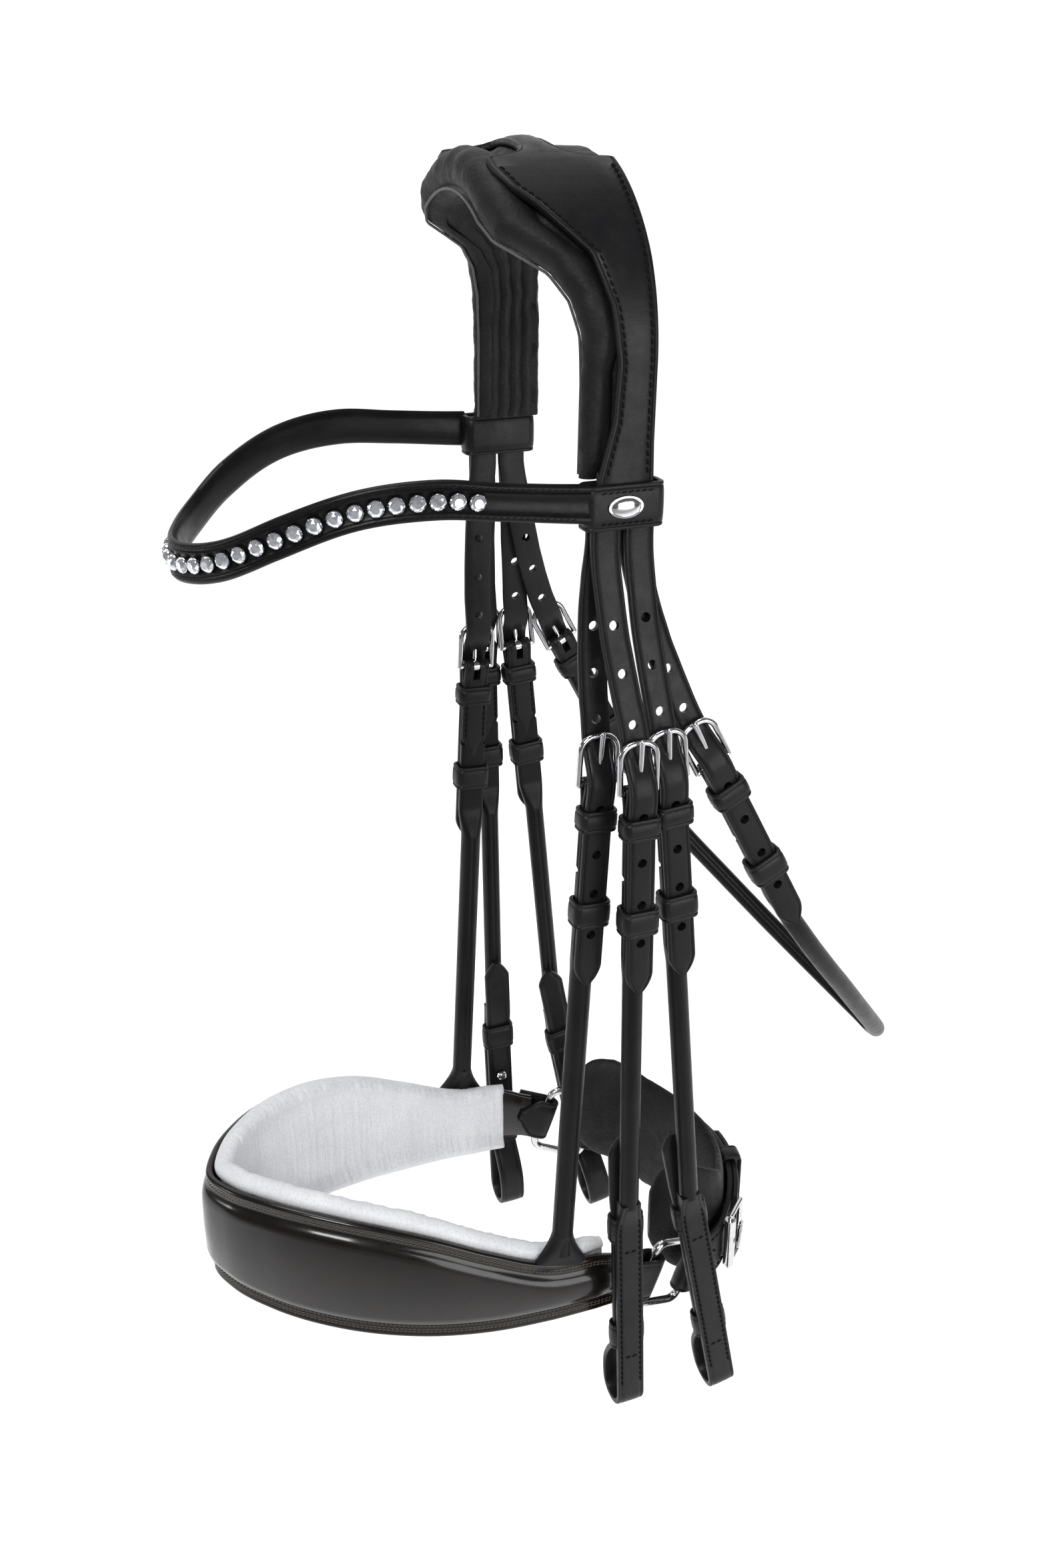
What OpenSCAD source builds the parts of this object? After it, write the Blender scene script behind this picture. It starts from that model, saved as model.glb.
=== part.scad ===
// Double bridle: padded headpiece, crystal browband, two bit cheekpieces a side, throatlatch
// and a padded crank noseband.
// +Z is up, +X is the horse's left, the horse faces -Y.
// The origin is the middle of the poll seat, on the inner face of the crown.

/* [Straps] */
// Width of the cheek, noseband and throat straps
strap_w = 11.6; // [11:0.1:12]
// Thickness of one layer of strap leather
strap_t = 2.4; // [2:0.1:2.6]
// Diameter of the rolled cheekpieces
roll_d = 8.4; // [7:0.2:9]
// Diameter of the rolled noseband hangers
hanger_d = 9.2; // [8:0.2:10]
// Diameter of the rolled throatlatch
throat_d = 8.4; // [7:0.2:9]
// Diameter of a punched hole
hole_d = 4; // [3:0.5:5]

/* [Crown] */
// Inside radius of the crown arch
crown_r = 52; // [50:1:53]
// Thickness of the crown padding over the poll
crown_pad_t = 12.8; // [8:0.2:12.8]
// Thickness of the headpiece leather
head_t = 2.8; // [2:0.2:3]

/* [Hardware] */
// Wire diameter of the strap buckles
wire_d = 2.4; // [2:0.1:2.6]
// Wire diameter of the noseband rings
ring_wire_d = 3.8; // [3:0.2:4]
// Diameter of one browband crystal
crystal_d = 6.2; // [5:0.1:6.4]
// Inside radius of the bit loops
bit_loop_r = 6.5; // [5:0.5:7]

/* [Hidden] */
$fn = 64;
gap = 0.3;          // clearance between two neighbouring layers
hinge_gap = 0.05;   // radial clearance on a buckle bar
far = 300;          // longer than anything that it cuts

// Frame of a strap unit: its origin is the middle of the buckle's bar, +Z runs up the strap,
// +X points away from the head. Each entry is name, bar position, lean in the Y-Z plane.
UNITS = [
    ["noseband", [70, 3.5, -209], -2.9],
    ["front_cheek", [86.5, 13.5, -207], 0.8],
    ["rear_cheek", [81.8, 28.4, -206], 5.3],
    ["throat", [78, 49, -204.5], 28]
];
NOSE = 0;
FRONT = 1;
REAR = 2;
THROAT = 3;
CHEEKS = [FRONT, REAR];
SIDES = [["left", 1], ["right", -1]];

// Buckle
leg_y = 7.5;            // leg centre to middle of the buckle
frame_h = 19.5;         // bar centre to top bar centre
corner_r = 6;           // centre line radius of the rounded top
tongue_d = 2.1;
tongue_w = 2.6;         // width of the ring that holds the tongue on the bar
tongue_foot = 1.1;      // how far the shank stands off the bar's centre
tongue_tip = [2.8, 21]; // x and z of the shank's end

// Cheek strap, in its unit's frame
flat_t = 3.8;           // two layers sewn together
fold_t = 1.9;           // leather around the bar
slot_w = 3.2;           // slot for the tongue
flat_end = -78;         // where the flat part turns into the roll
roll_x = -2.3;          // middle of the roll, behind the middle of the flat part
tail_x = 3.5;           // middle of the strap end that lies on the flat part
tail_end = -87;
keeper_wall = 1.5;
keeper_in = [-2.3, 5.1];
keeper_half_w = 6.2;
fixed_keeper_z = [-18.5, -9.5];
runner_z = [-60, -49];

// Headpiece: middle line of each cheek strap, seen from the side and from the front
slit_z = -117;
panel_end = -119;
front_strap_yz = [[6.4, -118], [8.3, -150], [11.2, -175], [13.2, -188], [13.4, -196]];
rear_strap_yz = [[19.8, -118], [22.2, -150], [25, -175], [26.3, -187], [27, -195]];
front_strap_xz = [[66.5, -118], [67.2, -126], [71, -143], [77, -164], [81.6, -179], [83.7, -187.5],
                  [84.3, -195.5]];
rear_strap_xz = [[66.5, -118], [67, -126], [69.2, -143], [73.4, -164], [77.1, -179], [79, -186.5],
                 [79.6, -194.5]];
// Under strap: noseband strap and throat strap
under_x = 63.55;
nose_strap_yz = [[5.9, -108], [5.8, -117], [4.4, -128], [3.3, -142], [2.9, -160], [3.2, -175],
                 [4.2, -189.5], [4, -197.5]];
nose_strap_xz = [[63.55, -108], [63.5, -117], [63.4, -128], [63.6, -142], [64.6, -160], [66, -175],
                 [67.2, -189.5], [67.8, -197.5]];
throat_strap_yz = [[18.4, -108], [18.7, -117], [21, -128], [24.2, -142], [28.4, -157], [33.2, -171],
                   [39, -186], [43, -193.8]];
throat_strap_xz = [[63.55, -108], [63.5, -117], [63.9, -128], [65.2, -142], [68.4, -157], [72, -171],
                   [74.9, -186], [75.4, -193.6]];
// Distances up from the bar at which the upper straps are punched
strap_holes = [26, 44, 62];

// Noseband, seen from above: right half is mirrored
nose_plan = [[64, 38], [67.5, 14], [69, -10], [67.5, -40], [62, -70], [50, -101], [31, -128],
             [14, -142], [0, -147]];
nose_top = [[40, -450], [14, -441], [-14, -437], [-41, -425], [-66, -413], [-100, -403],
            [-135, -400], [-160, -404]];
nose_low = [[-160, -453], [-135, -457], [-100, -462], [-66, -466], [-41, -468], [-14, -469],
            [14, -471], [40, -479]];
nose_t = 3.6;
nose_pad_t = 7;
nose_pad_end = 13;      // the padding stops here, ahead of the plain leather ends

// Rings and chin strap
ring_pos = [61.5, 47.5, -466.5];
ring_lean = -20;
ring_size = [26, 34];   // between wire centres: along the strap, and up
ring_corner_r = 5;
chin_plan = [[57.6, 58.5], [56.8, 68], [53, 78.2], [46.3, 85.2], [36, 92.35], [24.6, 97.66],
             [12.5, 100.9], [0, 102]];
chin_low = [[50, -486], [60, -486], [110, -468]];
chin_w = 25;
// Outer face of the chin padding, seen from above, and its lower and upper edges seen from the side
chin_pad_plan = [[48.5, 45], [50, 55], [50, 66], [48, 77], [44.7, 83.3], [35, 90.2], [23.8, 95.4],
                 [12.1, 98.5], [0, 99.6]];
chin_pad_low = [[30, -468], [50, -474], [68, -484], [86, -498], [110, -506]];
chin_pad_top = [[110, -432], [86, -424], [68, -410], [50, -404], [30, -412]];
chin_pad_t = 8;

// Browband, seen from above and from the side
brow_plan = [[68.3, -0.8], [67.6, -20], [66, -45], [62, -70], [53.5, -95], [39.5, -117],
             [20.5, -132], [0, -138]];
brow_top = [[30, -94], [-8, -92], [-34, -89.5], [-57, -87], [-84, -90], [-109, -100],
            [-128, -111.5], [-138, -116], [-150, -118]];
brow_low = [[-150, -133], [-138, -131.5], [-128, -127], [-109, -115.5], [-84, -104.5],
            [-57, -101.5], [-34, -103.5], [-8, -106.5], [30, -110.5]];
brow_t = 4;
crystals_each_side = 18;
crystal_pitch = 7;
cup_h = 1.4;
crystal_h = 2.2;

// Billets: strap unit, where its roll ends, lean, and length down to the middle of the bit loop
BILLETS = [[FRONT, -195, 2.1, 107.5], [REAR, -204, 11.2, 113]];
billet_t = 2.8;
joint_gap = 0.6;        // between the end of the roll and the top of the folded strap
inner_x = -4.4;         // middle of the inner end, behind the outer strap
inner_top = 30;
keeper_top = [-21, -8];
keeper_low = [27, 40];  // above the middle of the loop
stud_z = -38;

// Throatlatch: middle of the roll, left half, from the buckle unit to the middle
throat_route = [[75.7, 84.6, -271.7], [75.7, 88, -278], [74.5, 97.5, -292], [69, 112, -311],
                [58, 131, -334], [43, 151, -358], [27, 169, -379], [14, 181.5, -393.5], [5, 187, -400],
                [0, 188, -401.5]];

black = [0.07, 0.07, 0.08];
nappa = [0.09, 0.09, 0.1];
patent = [0.08, 0.06, 0.05];

// ---- outlines -------------------------------------------------------------

function unit_dir(v) = v / norm(v);
function reversed(p) = [for (i = [len(p) - 1 : -1 : 0]) p[i]];
function heading(p, i) = unit_dir(p[min(i + 1, len(p) - 1)] - p[max(i - 1, 0)]);
function moved(p, d) = [for (i = [0 : len(p) - 1]) let (t = heading(p, i)) p[i] + d * [t[1], -t[0]]];
// A closed outline between two lines parallel to an open line of points
function ribbon(p, d1, d2) = concat(moved(p, d1), reversed(moved(p, d2)));
// A curve of four steps a stretch through an open line of points
function bend(a, b, c, d, t) =
    b + t / 2 * ((c - a) + t * ((2 * a - 5 * b + 4 * c - d) + t * (3 * b - a - 3 * c + d)));
function curve(p, steps = 4) = let (n = len(p) - 1) concat(
    [for (i = [0 : n - 1]) for (k = [0 : steps - 1])
        bend(p[max(i - 1, 0)], p[i], p[i + 1], p[min(i + 2, n)], k / steps)],
    [p[n]]);
// Both halves of a plan that is drawn for the left side only
function both_sides(half) =
    curve(concat(half, [for (i = [len(half) - 2 : -1 : 0]) [-half[i][0], half[i][1]]]));

// A flat shape seen from the front, drawn in X and Z
module from_front(depth = 2 * far) {
    rotate([90, 0, 0]) linear_extrude(height = depth, center = true) children();
}

// A flat shape seen from the side, drawn in Y and Z
module from_side(depth = 2 * far) {
    rotate([90, 0, 90]) linear_extrude(height = depth, center = true) children();
}

// What a side view and a front view have in common
module strap_between(xz, yz, thickness, width) {
    intersection() {
        from_front() polygon(ribbon(xz, -thickness / 2, thickness / 2));
        from_side() polygon(ribbon(yz, -width / 2, width / 2));
    }
}

module place(unit) {
    translate(UNITS[unit][1]) rotate([UNITS[unit][2], 0, 0]) children();
}

module on_side(sign) {
    if (sign > 0) children();
    else mirror([1, 0, 0]) children();
}

// ---- crown and headpiece --------------------------------------------------

module arch_2d(r_in, r_out, low) {
    difference() {
        union() {
            translate([0, -crown_r]) circle(r_out);
            translate([-r_out, low]) square([2 * r_out, -crown_r - low]);
        }
        translate([0, -crown_r]) circle(r_in);
        translate([-r_in, low - 1]) square([2 * r_in, 1 - crown_r - low]);
    }
}

module crown_pad() {
    front = [[-29, 20], [-29, 0], [-26, -7], [-18, -12.5], [-9, -19], [-3, -29], [0, -42],
             [0.5, -60], [0, -92.5]];
    rear = [[28, -92.5], [28.5, -60], [28, -40], [26.5, -20], [25, 0], [25, 20]];
    color(nappa) intersection() {
        from_front() union() {
            intersection() {
                arch_2d(crown_r, crown_r + crown_pad_t, -92.5);
                translate([-far, 3 - crown_r]) square([2 * far, far]);
            }
            arch_2d(crown_r, crown_r + 10, -92.5);
        }
        from_side() polygon(concat(curve(front), curve(rear)));
    }
}

head_in = crown_r + 13.1;

module head_holes(unit) {
    lean = unit == NOSE || unit == THROAT ? 0 : 16;
    place(unit) for (z = strap_holes)
        translate([z < 30 ? -4.6 : -9, 0, z]) rotate([0, 90 + lean, 0])
            cylinder(d = hole_d, h = 26, center = true);
}

module headpiece() {
    front = [[-24, 20], [-23, 4], [-19, -1], [-13, -5], [3, -18.5], [8, -34], [10, -52], [8.5, -72],
             [3, -93], [0.6, -107], [0.5, panel_end]];
    rear = [[25.6, panel_end], [25, -107], [24.5, -80], [25, -52], [25.5, -20], [25, 3], [24.5, 20]];
    color(black) difference() {
        union() {
            intersection() {
                from_front() arch_2d(head_in, head_in + head_t, panel_end);
                from_side() polygon(concat(curve(front), curve(rear)));
                linear_extrude(height = 2 * far, center = true) headpiece_waist();
            }
            for (side = SIDES) on_side(side[1]) {
                strap_between(front_strap_xz, front_strap_yz, strap_t, strap_w);
                strap_between(rear_strap_xz, rear_strap_yz, strap_t, strap_w);
            }
        }
        for (side = SIDES) on_side(side[1]) for (unit = CHEEKS) head_holes(unit);
    }
}

// The panels narrow to a band where they cross the poll
module headpiece_waist() {
    band = [[0, 6], [11, 6], [17, 8.5], [21, 14], [23, 30]];
    front_edge = [[23, -30], [20, -16], [17, -9.5], [11, -7], [0, -7]];
    half = concat(curve(band), [[90, 30], [90, -30]], curve(front_edge));
    polygon(half);
    mirror([1, 0]) polygon(half);
}

module under_strap(sign) {
    panel = [[0.5, -109], [0.5, -56], [25.6, -56], [25.6, -109]];
    color(black) on_side(sign) difference() {
        union() {
            intersection() {
                translate([under_x - strap_t / 2, -far, -far]) cube([strap_t, 2 * far, 2 * far]);
                from_side() polygon(panel);
            }
            strap_between(nose_strap_xz, nose_strap_yz, strap_t, strap_w);
            strap_between(throat_strap_xz, throat_strap_yz, strap_t, strap_w + 1);
        }
        head_holes(NOSE);
        place(THROAT) for (z = [26, 44])
            translate([-6, 0, z]) rotate([0, 90, 0]) cylinder(d = hole_d, h = 22, center = true);
    }
}

// ---- buckles, in the unit's frame -----------------------------------------

module quarter_wire(r, d) {
    rotate_extrude(angle = 90) translate([r, 0]) circle(d = d);
}

module buckle_frame() {
    flat_top = 2 * (leg_y - corner_r);
    rotate([90, 0, 0]) cylinder(d = wire_d, h = 2 * leg_y, center = true);
    for (y = [-leg_y, leg_y]) {
        translate([0, y, 0]) cylinder(d = wire_d, h = frame_h - corner_r);
        translate([0, y, 0]) sphere(d = wire_d);
    }
    translate([0, leg_y - corner_r, frame_h - corner_r]) rotate([90, 0, 90]) quarter_wire(corner_r, wire_d);
    translate([0, corner_r - leg_y, frame_h - corner_r]) rotate([90, 0, -90]) quarter_wire(corner_r, wire_d);
    translate([0, 0, frame_h]) rotate([90, 0, 0]) cylinder(d = wire_d, h = flat_top, center = true);
}

module tongue() {
    run = tongue_tip - [tongue_foot, 0];
    difference() {
        union() {
            rotate([90, 0, 0]) cylinder(d = wire_d + 2.3, h = tongue_w, center = true);
            translate([tongue_foot, 0, 0]) rotate([0, atan2(run[0], run[1]), 0])
                cylinder(d = tongue_d, h = norm(run));
            translate([tongue_tip[0], 0, tongue_tip[1]]) sphere(d = tongue_d);
        }
        rotate([90, 0, 0]) cylinder(d = wire_d + 2 * hinge_gap, h = 2 * tongue_w, center = true);
    }
}

module frames_of(units) {
    color("silver") for (side = SIDES) on_side(side[1]) for (unit = units) place(unit) buckle_frame();
}

module strap_tongue(unit, sign) {
    color("silver") on_side(sign) place(unit) tongue();
}

// ---- cheek straps, in the unit's frame ------------------------------------

module fold_around_bar(width) {
    difference() {
        union() {
            rotate([90, 0, 0]) cylinder(r = wire_d / 2 + hinge_gap + fold_t, h = width, center = true);
            translate([-flat_t / 2, -width / 2, flat_end]) cube([flat_t, width, -flat_end - 2]);
        }
        rotate([90, 0, 0]) cylinder(r = wire_d / 2 + hinge_gap, h = 2 * width, center = true);
        translate([-10, -slot_w / 2, -6]) cube([20, slot_w, 12]);
    }
}

module keeper(z, extra = 0) {
    x0 = keeper_in[0] + extra;
    wide = keeper_half_w + keeper_wall;
    difference() {
        translate([x0 - keeper_wall, -wide, z[0]])
            cube([keeper_in[1] - x0 + 2 * keeper_wall, 2 * wide, z[1] - z[0]]);
        translate([x0, -keeper_half_w, z[0] - 1])
            cube([keeper_in[1] - x0, 2 * keeper_half_w, z[1] - z[0] + 2]);
    }
}

module buckle_end() {
    fold_around_bar(strap_w);
    keeper(fixed_keeper_z, keeper_in[0] > -flat_t / 2 ? 0 : 0.6);
}

module cheek_strap(unit, sign, d, length) {
    color(black) on_side(sign) place(unit) {
        buckle_end();
        translate([roll_x, 0, -length]) cylinder(d = d, h = length + flat_end + 4);
    }
}

module strap_tail() {
    side = [[4.75, 4.5], [4.75, 0], [4.3, -4], [3.65, -8], [tail_x, -11], [tail_x, tail_end]];
    face = [[-strap_w / 2, 5], [-strap_w / 2, tail_end + 9], [-3.6, tail_end + 3], [0, tail_end],
            [3.6, tail_end + 3], [strap_w / 2, tail_end + 9], [strap_w / 2, 5]];
    difference() {
        intersection() {
            from_front(4 * strap_w) polygon(ribbon(side, -strap_t / 2, strap_t / 2));
            from_side(4 * strap_w) polygon(face);
        }
        for (z = [-9, -28]) translate([0, 0, z]) rotate([0, 90, 0]) cylinder(d = hole_d, h = 12);
    }
}

module strap_end(unit, sign) {
    color(black) on_side(sign) place(unit) strap_tail();
}

module runner(unit, sign) {
    color(black) on_side(sign) place(unit) keeper(runner_z);
}

// ---- billets, in the billet's frame ---------------------------------------

module place_billet(billet) {
    unit = BILLETS[billet][0];
    place(unit) translate([roll_x, 0, BILLETS[billet][1]])
        rotate([BILLETS[billet][2] - UNITS[unit][2], 0, 0]) children();
}

module billet_strap(drop) {
    half = billet_t / 2;
    loop_x = -half - bit_loop_r;
    back = loop_x - bit_loop_r - half;
    rise = curve([[back, -drop + 4], [back + 0.8, -drop + 10], [-11, -drop + 18],
                  [inner_x - 1.4, -drop + 26], [inner_x, -drop + 36], [inner_x, -55], [inner_x, -38],
                  [inner_x, -24], [inner_x, -14], [inner_x, -8], [inner_x - 1.2, -3], [inner_x - 1.9, 3],
                  [inner_x - 2, 12], [inner_x - 2.2, inner_top]], 2);
    inner = concat([[back, -drop]], rise);
    tip = [[-strap_w / 2, -2 * far], [-strap_w / 2, inner_top - 7], [-3.4, inner_top - 2],
           [0, inner_top - 0.5], [3.4, inner_top - 2], [strap_w / 2, inner_top - 7],
           [strap_w / 2, -2 * far]];
    difference() {
        union() {
            intersection() {
                from_front(strap_w) {
                    translate([-half, -drop]) square([billet_t, drop - joint_gap]);
                    difference() {
                        translate([loop_x, -drop]) circle(bit_loop_r + billet_t);
                        translate([loop_x, -drop]) circle(bit_loop_r);
                        translate([-far, -drop]) square(2 * far);
                    }
                    polygon(ribbon(inner, -half, half));
                }
                from_side() polygon(tip);
            }
            billet_keeper(keeper_top);
            billet_keeper(keeper_low - [drop, drop]);
        }
        translate([inner_x, 0, stud_z]) rotate([0, 90, 0]) cylinder(r = 1.6, h = 3.2, center = true);
    }
}

module billet_keeper(z) {
    back = inner_x - billet_t / 2 - gap;
    wide = keeper_half_w + keeper_wall;
    high = z[1] - z[0];
    difference() {
        translate([back - keeper_wall, -wide, z[0]]) cube([-1.2 - back + keeper_wall, 2 * wide, high]);
        translate([back, -keeper_half_w, z[0] - 1]) cube([-2.7 - back, 2 * keeper_half_w, z[1] - z[0] + 2]);
    }
}

module billet(index, sign) {
    color(black) on_side(sign) place_billet(index) billet_strap(BILLETS[index][3]);
}

// Stud that the billet's inner end buttons onto
module stud(index, sign) {
    head = inner_x - billet_t / 2 - 2.4;
    shank = -billet_t / 2 - head - 0.05;
    color("silver") on_side(sign) place_billet(index) translate([head, 0, stud_z]) rotate([0, 90, 0]) {
        cylinder(d = 2.4, h = shank);
        cylinder(d1 = 4.4, d2 = 5.2, h = 1);
        translate([0, 0, 0.99]) cylinder(d1 = 5.2, d2 = 2.6, h = 1);
        translate([0, 0, -0.7]) cylinder(d1 = 2.6, d2 = 4.4, h = 0.71);
    }
}

// ---- throatlatch ----------------------------------------------------------

// A closed tube along a route that lies in one sloping plane; across is that plane's normal
function tube_rings(route, r, sides, across) = [
    for (i = [0 : len(route) - 1])
        let (t = heading(route, i), n = unit_dir(cross(t, across)), m = cross(n, t))
        for (k = [0 : sides - 1]) route[i] + r * (cos(360 * k / sides) * n + sin(360 * k / sides) * m)];
function tube_faces(rings, sides) = concat(
    [[for (k = [sides - 1 : -1 : 0]) k]],
    [for (i = [0 : rings - 2]) for (k = [0 : sides - 1])
        let (next = (k + 1) % sides)
        [i * sides + k, i * sides + next, (i + 1) * sides + next, (i + 1) * sides + k]],
    [[for (k = [0 : sides - 1]) (rings - 1) * sides + k]]);

module tube(route, d, across, sides = 12) {
    polyhedron(tube_rings(route, d / 2, sides, across), tube_faces(len(route), sides));
}

module throatlatch() {
    ends = len(throat_route) - 2;
    other_half = [for (i = [ends : -1 : 0]) let (p = throat_route[i]) [-p[0], p[1], p[2]]];
    whole = curve(concat(throat_route, other_half), 3);
    color(black) {
        for (side = SIDES) on_side(side[1]) place(THROAT) buckle_end();
        tube(whole, throat_d, [0, 0.78, 0.63]);
    }
}

// ---- noseband -------------------------------------------------------------

module nose_ring_plan(inside, outside, last) {
    plan = both_sides(nose_plan);
    intersection() {
        polygon(ribbon(plan, inside, outside));
        translate([-far, last - 2 * far]) square([2 * far, 2 * far]);
    }
}

module nose_layer(inside, outside, last, above, below) {
    intersection() {
        linear_extrude(height = 4 * far, center = true) nose_ring_plan(inside, outside, last);
        from_side() polygon(concat(
            [for (p = curve(nose_top)) p + [0, above]],
            [for (p = curve(nose_low)) p - [0, below]]));
    }
}

module noseband_leather() {
    color(patent) difference() {
        union() {
            nose_layer(-nose_t / 2, nose_t / 2, 28, 0, 0);
            for (side = SIDES) on_side(side[1]) ring_fold();
        }
        for (side = SIDES) on_side(side[1]) place_ring() ring_front_bar(ring_wire_d + 2.8, 60);
    }
}

// The leather end folded round the ring's front bar
module ring_fold() {
    place_ring() translate([0, -ring_size[0] / 2, 0]) cylinder(d = ring_wire_d + 7, h = 22, center = true);
}

module noseband_padding() {
    color("white") nose_layer(nose_t / 2 + gap, nose_t / 2 + gap + nose_pad_t, nose_pad_end, 4, 3);
}

module place_ring() {
    translate(ring_pos) rotate([ring_lean, 0, 0]) rotate([0, 0, 14]) children();
}

module ring_front_bar(d, length) {
    translate([0, -ring_size[0] / 2, 0]) cylinder(d = d, h = length, center = true);
}

module ring() {
    half = ring_size / 2;
    straight = ring_size - 2 * [ring_corner_r, ring_corner_r];
    for (s = [-1, 1]) {
        translate([0, s * half[0], 0]) cylinder(d = ring_wire_d, h = straight[1], center = true);
        translate([0, 0, s * half[1]]) rotate([90, 0, 0])
            cylinder(d = ring_wire_d, h = straight[0], center = true);
    }
    for (q = [0 : 3]) rotate([90 * q, 0, 0]) {
        turned = q % 2 == 1;
        y = (turned ? straight[1] : straight[0]) / 2;
        z = (turned ? straight[0] : straight[1]) / 2;
        translate([0, y, z]) rotate([90, 0, 90]) quarter_wire(ring_corner_r, ring_wire_d);
    }
}

module noseband_rings() {
    color("silver") for (side = SIDES) on_side(side[1]) place_ring() ring();
}

// ---- chin strap and crank -------------------------------------------------

// A layer along the chin strap; outside and inside are distances from its middle, away from the chin,
// and grow is how far it reaches past the strap's edges
module chin_layer(inside, outside, grow = 0) {
    upper = [for (p = reversed(chin_low)) p + [0, chin_w + grow]];
    intersection() {
        linear_extrude(height = 4 * far, center = true)
            polygon(ribbon(both_sides(chin_plan), inside, outside));
        from_side() polygon(concat([for (p = chin_low) p - [0, grow]], upper));
    }
}

module ring_rear_bar(d, length) {
    place_ring() translate([0, ring_size[0] / 2, 0]) cylinder(d = d, h = length, center = true);
}

module chin_fold(sign) {
    on_side(sign) difference() {
        ring_rear_bar(ring_wire_d + 5.4, 23);
        ring_rear_bar(ring_wire_d + 0.2, 60);
    }
}

module chin_strap() {
    color(black) {
        difference() {
            chin_layer(-1.4, 1.4);
            for (side = SIDES) on_side(side[1]) ring_rear_bar(ring_wire_d + 2, 60);
        }
        for (side = SIDES) chin_fold(side[1]);
    }
}

module chin_pad() {
    plan = both_sides(chin_pad_plan);
    color(nappa) intersection() {
        linear_extrude(height = 4 * far, center = true) polygon(ribbon(plan, -chin_pad_t, 0));
        from_side() polygon(concat(curve(chin_pad_low), curve(chin_pad_top)));
    }
}

// What lies between two distances to the left of the middle
module between_x(x) {
    intersection() {
        children();
        translate([x[0], 0, -2 * far]) cube([x[1] - x[0], far, 3 * far]);
    }
}

// The strap's outer end, doubled back from the crank buckle
end_layer = [1.7, 1.7 + strap_t];

module chin_strap_end() {
    color(black) between_x([-14, 34]) chin_layer(end_layer[0], end_layer[1]);
}

module chin_keeper() {
    color(black) difference() {
        between_x([12, 22]) chin_layer(-1.6, end_layer[1] + gap + keeper_wall, 2);
        between_x([10, 24]) chin_layer(-5, end_layer[1] + gap, 0.4);
    }
}

crank_pos = [55.1, 83.2, -465];
crank_turn = 44;
crank_size = [14, 29];
roller_d = 5.2;

module place_crank() {
    translate(crank_pos) rotate([0, 0, crank_turn]) children();
}

module crank_buckle() {
    color("silver") place_crank() {
        for (y = [0, crank_size[0]]) translate([0, y, 0])
            cylinder(d = wire_d, h = crank_size[1], center = true);
        for (s = [-1, 1]) {
            translate([0, 0, s * crank_size[1] / 2]) rotate([-90, 0, 0])
                cylinder(d = wire_d, h = crank_size[0]);
            for (y = [0, crank_size[0]]) translate([0, y, s * crank_size[1] / 2]) sphere(d = wire_d);
        }
    }
}

module crank_roller() {
    color("silver") place_crank() difference() {
        cylinder(d = roller_d, h = crank_size[1] - wire_d - 1, center = true);
        cylinder(d = wire_d + 2 * hinge_gap, h = 2 * crank_size[1], center = true);
    }
}

module crank_tongue() {
    tip = [4.2, -0.6];
    color("silver") place_crank() difference() {
        union() {
            translate([0, crank_size[0], 0]) cylinder(d = wire_d + 2.3, h = tongue_w, center = true);
            translate([1.2, crank_size[0], 0]) rotate([90, 0, atan2(tip[0] - 1.2, crank_size[0])])
                cylinder(d = tongue_d, h = crank_size[0] + 1);
        }
        translate([0, crank_size[0], 0])
            cylinder(d = wire_d + 2 * hinge_gap, h = 3 * tongue_w, center = true);
    }
}

// ---- browband -------------------------------------------------------------

module brow_strap() {
    intersection() {
        linear_extrude(height = 4 * far, center = true)
            polygon(ribbon(both_sides(brow_plan), -brow_t / 2, brow_t / 2));
        from_side() polygon(concat(curve(brow_top), curve(brow_low)));
    }
}

module brow_loop() {
    inside = [61.9, 68.3];
    wall = 2.2;
    difference() {
        translate([inside[0] - wall, -2.6, -110.2]) cube([inside[1] - inside[0] + 2 * wall, 31.4, 16.6]);
        translate([inside[0], -0.4, -115]) cube([inside[1] - inside[0], 27, 30]);
    }
}

module browband() {
    color(black) {
        brow_strap();
        for (side = SIDES) on_side(side[1]) brow_loop();
    }
}

// Distance along a line of points, and the point and heading at a distance from its far end
function run_length(p, i = 0) = i >= len(p) - 1 ? 0 : norm(p[i + 1] - p[i]) + run_length(p, i + 1);
function at_run(p, s, i = 0) =
    let (step = norm(p[i + 1] - p[i]))
    s <= step || i == len(p) - 2 ? [p[i] + (p[i + 1] - p[i]) * s / step, unit_dir(p[i + 1] - p[i])]
    : at_run(p, s - step, i + 1);
function height_at(p, y, i = 0) =
    y >= p[i + 1][0] || i == len(p) - 2
    ? p[i][1] + (p[i + 1][1] - p[i][1]) * (y - p[i][0]) / (p[i + 1][0] - p[i][0])
    : height_at(p, y, i + 1);

module each_crystal() {
    plan = both_sides(brow_plan);
    front_run = [for (i = [(len(plan) - 1) / 2 : -1 : 0]) plan[i]];
    top = curve(brow_top);
    low = reversed(curve(brow_low));
    for (k = [-crystals_each_side : crystals_each_side]) {
        spot = at_run(front_run, abs(k) * crystal_pitch);
        z = (height_at(top, spot[0][1]) + height_at(low, spot[0][1])) / 2;
        turn = atan2(spot[1][1], spot[1][0]) - 90;
        on_side(k < 0 ? -1 : 1) translate([spot[0][0], spot[0][1], z]) rotate([0, 0, turn])
            translate([brow_t / 2, 0, 0]) rotate([0, 90, 0]) children();
    }
}

module crystal_cups() {
    color("silver") each_crystal() difference() {
        cylinder(d = crystal_d + 0.6, h = cup_h);
        translate([0, 0, 0.5]) cylinder(d = crystal_d + 0.04, h = cup_h);
    }
}

module crystals() {
    color([0.9, 0.92, 0.95]) each_crystal() translate([0, 0, 0.52]) cylinder(d = crystal_d, h = crystal_h);
}

stud_d = 8;

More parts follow.
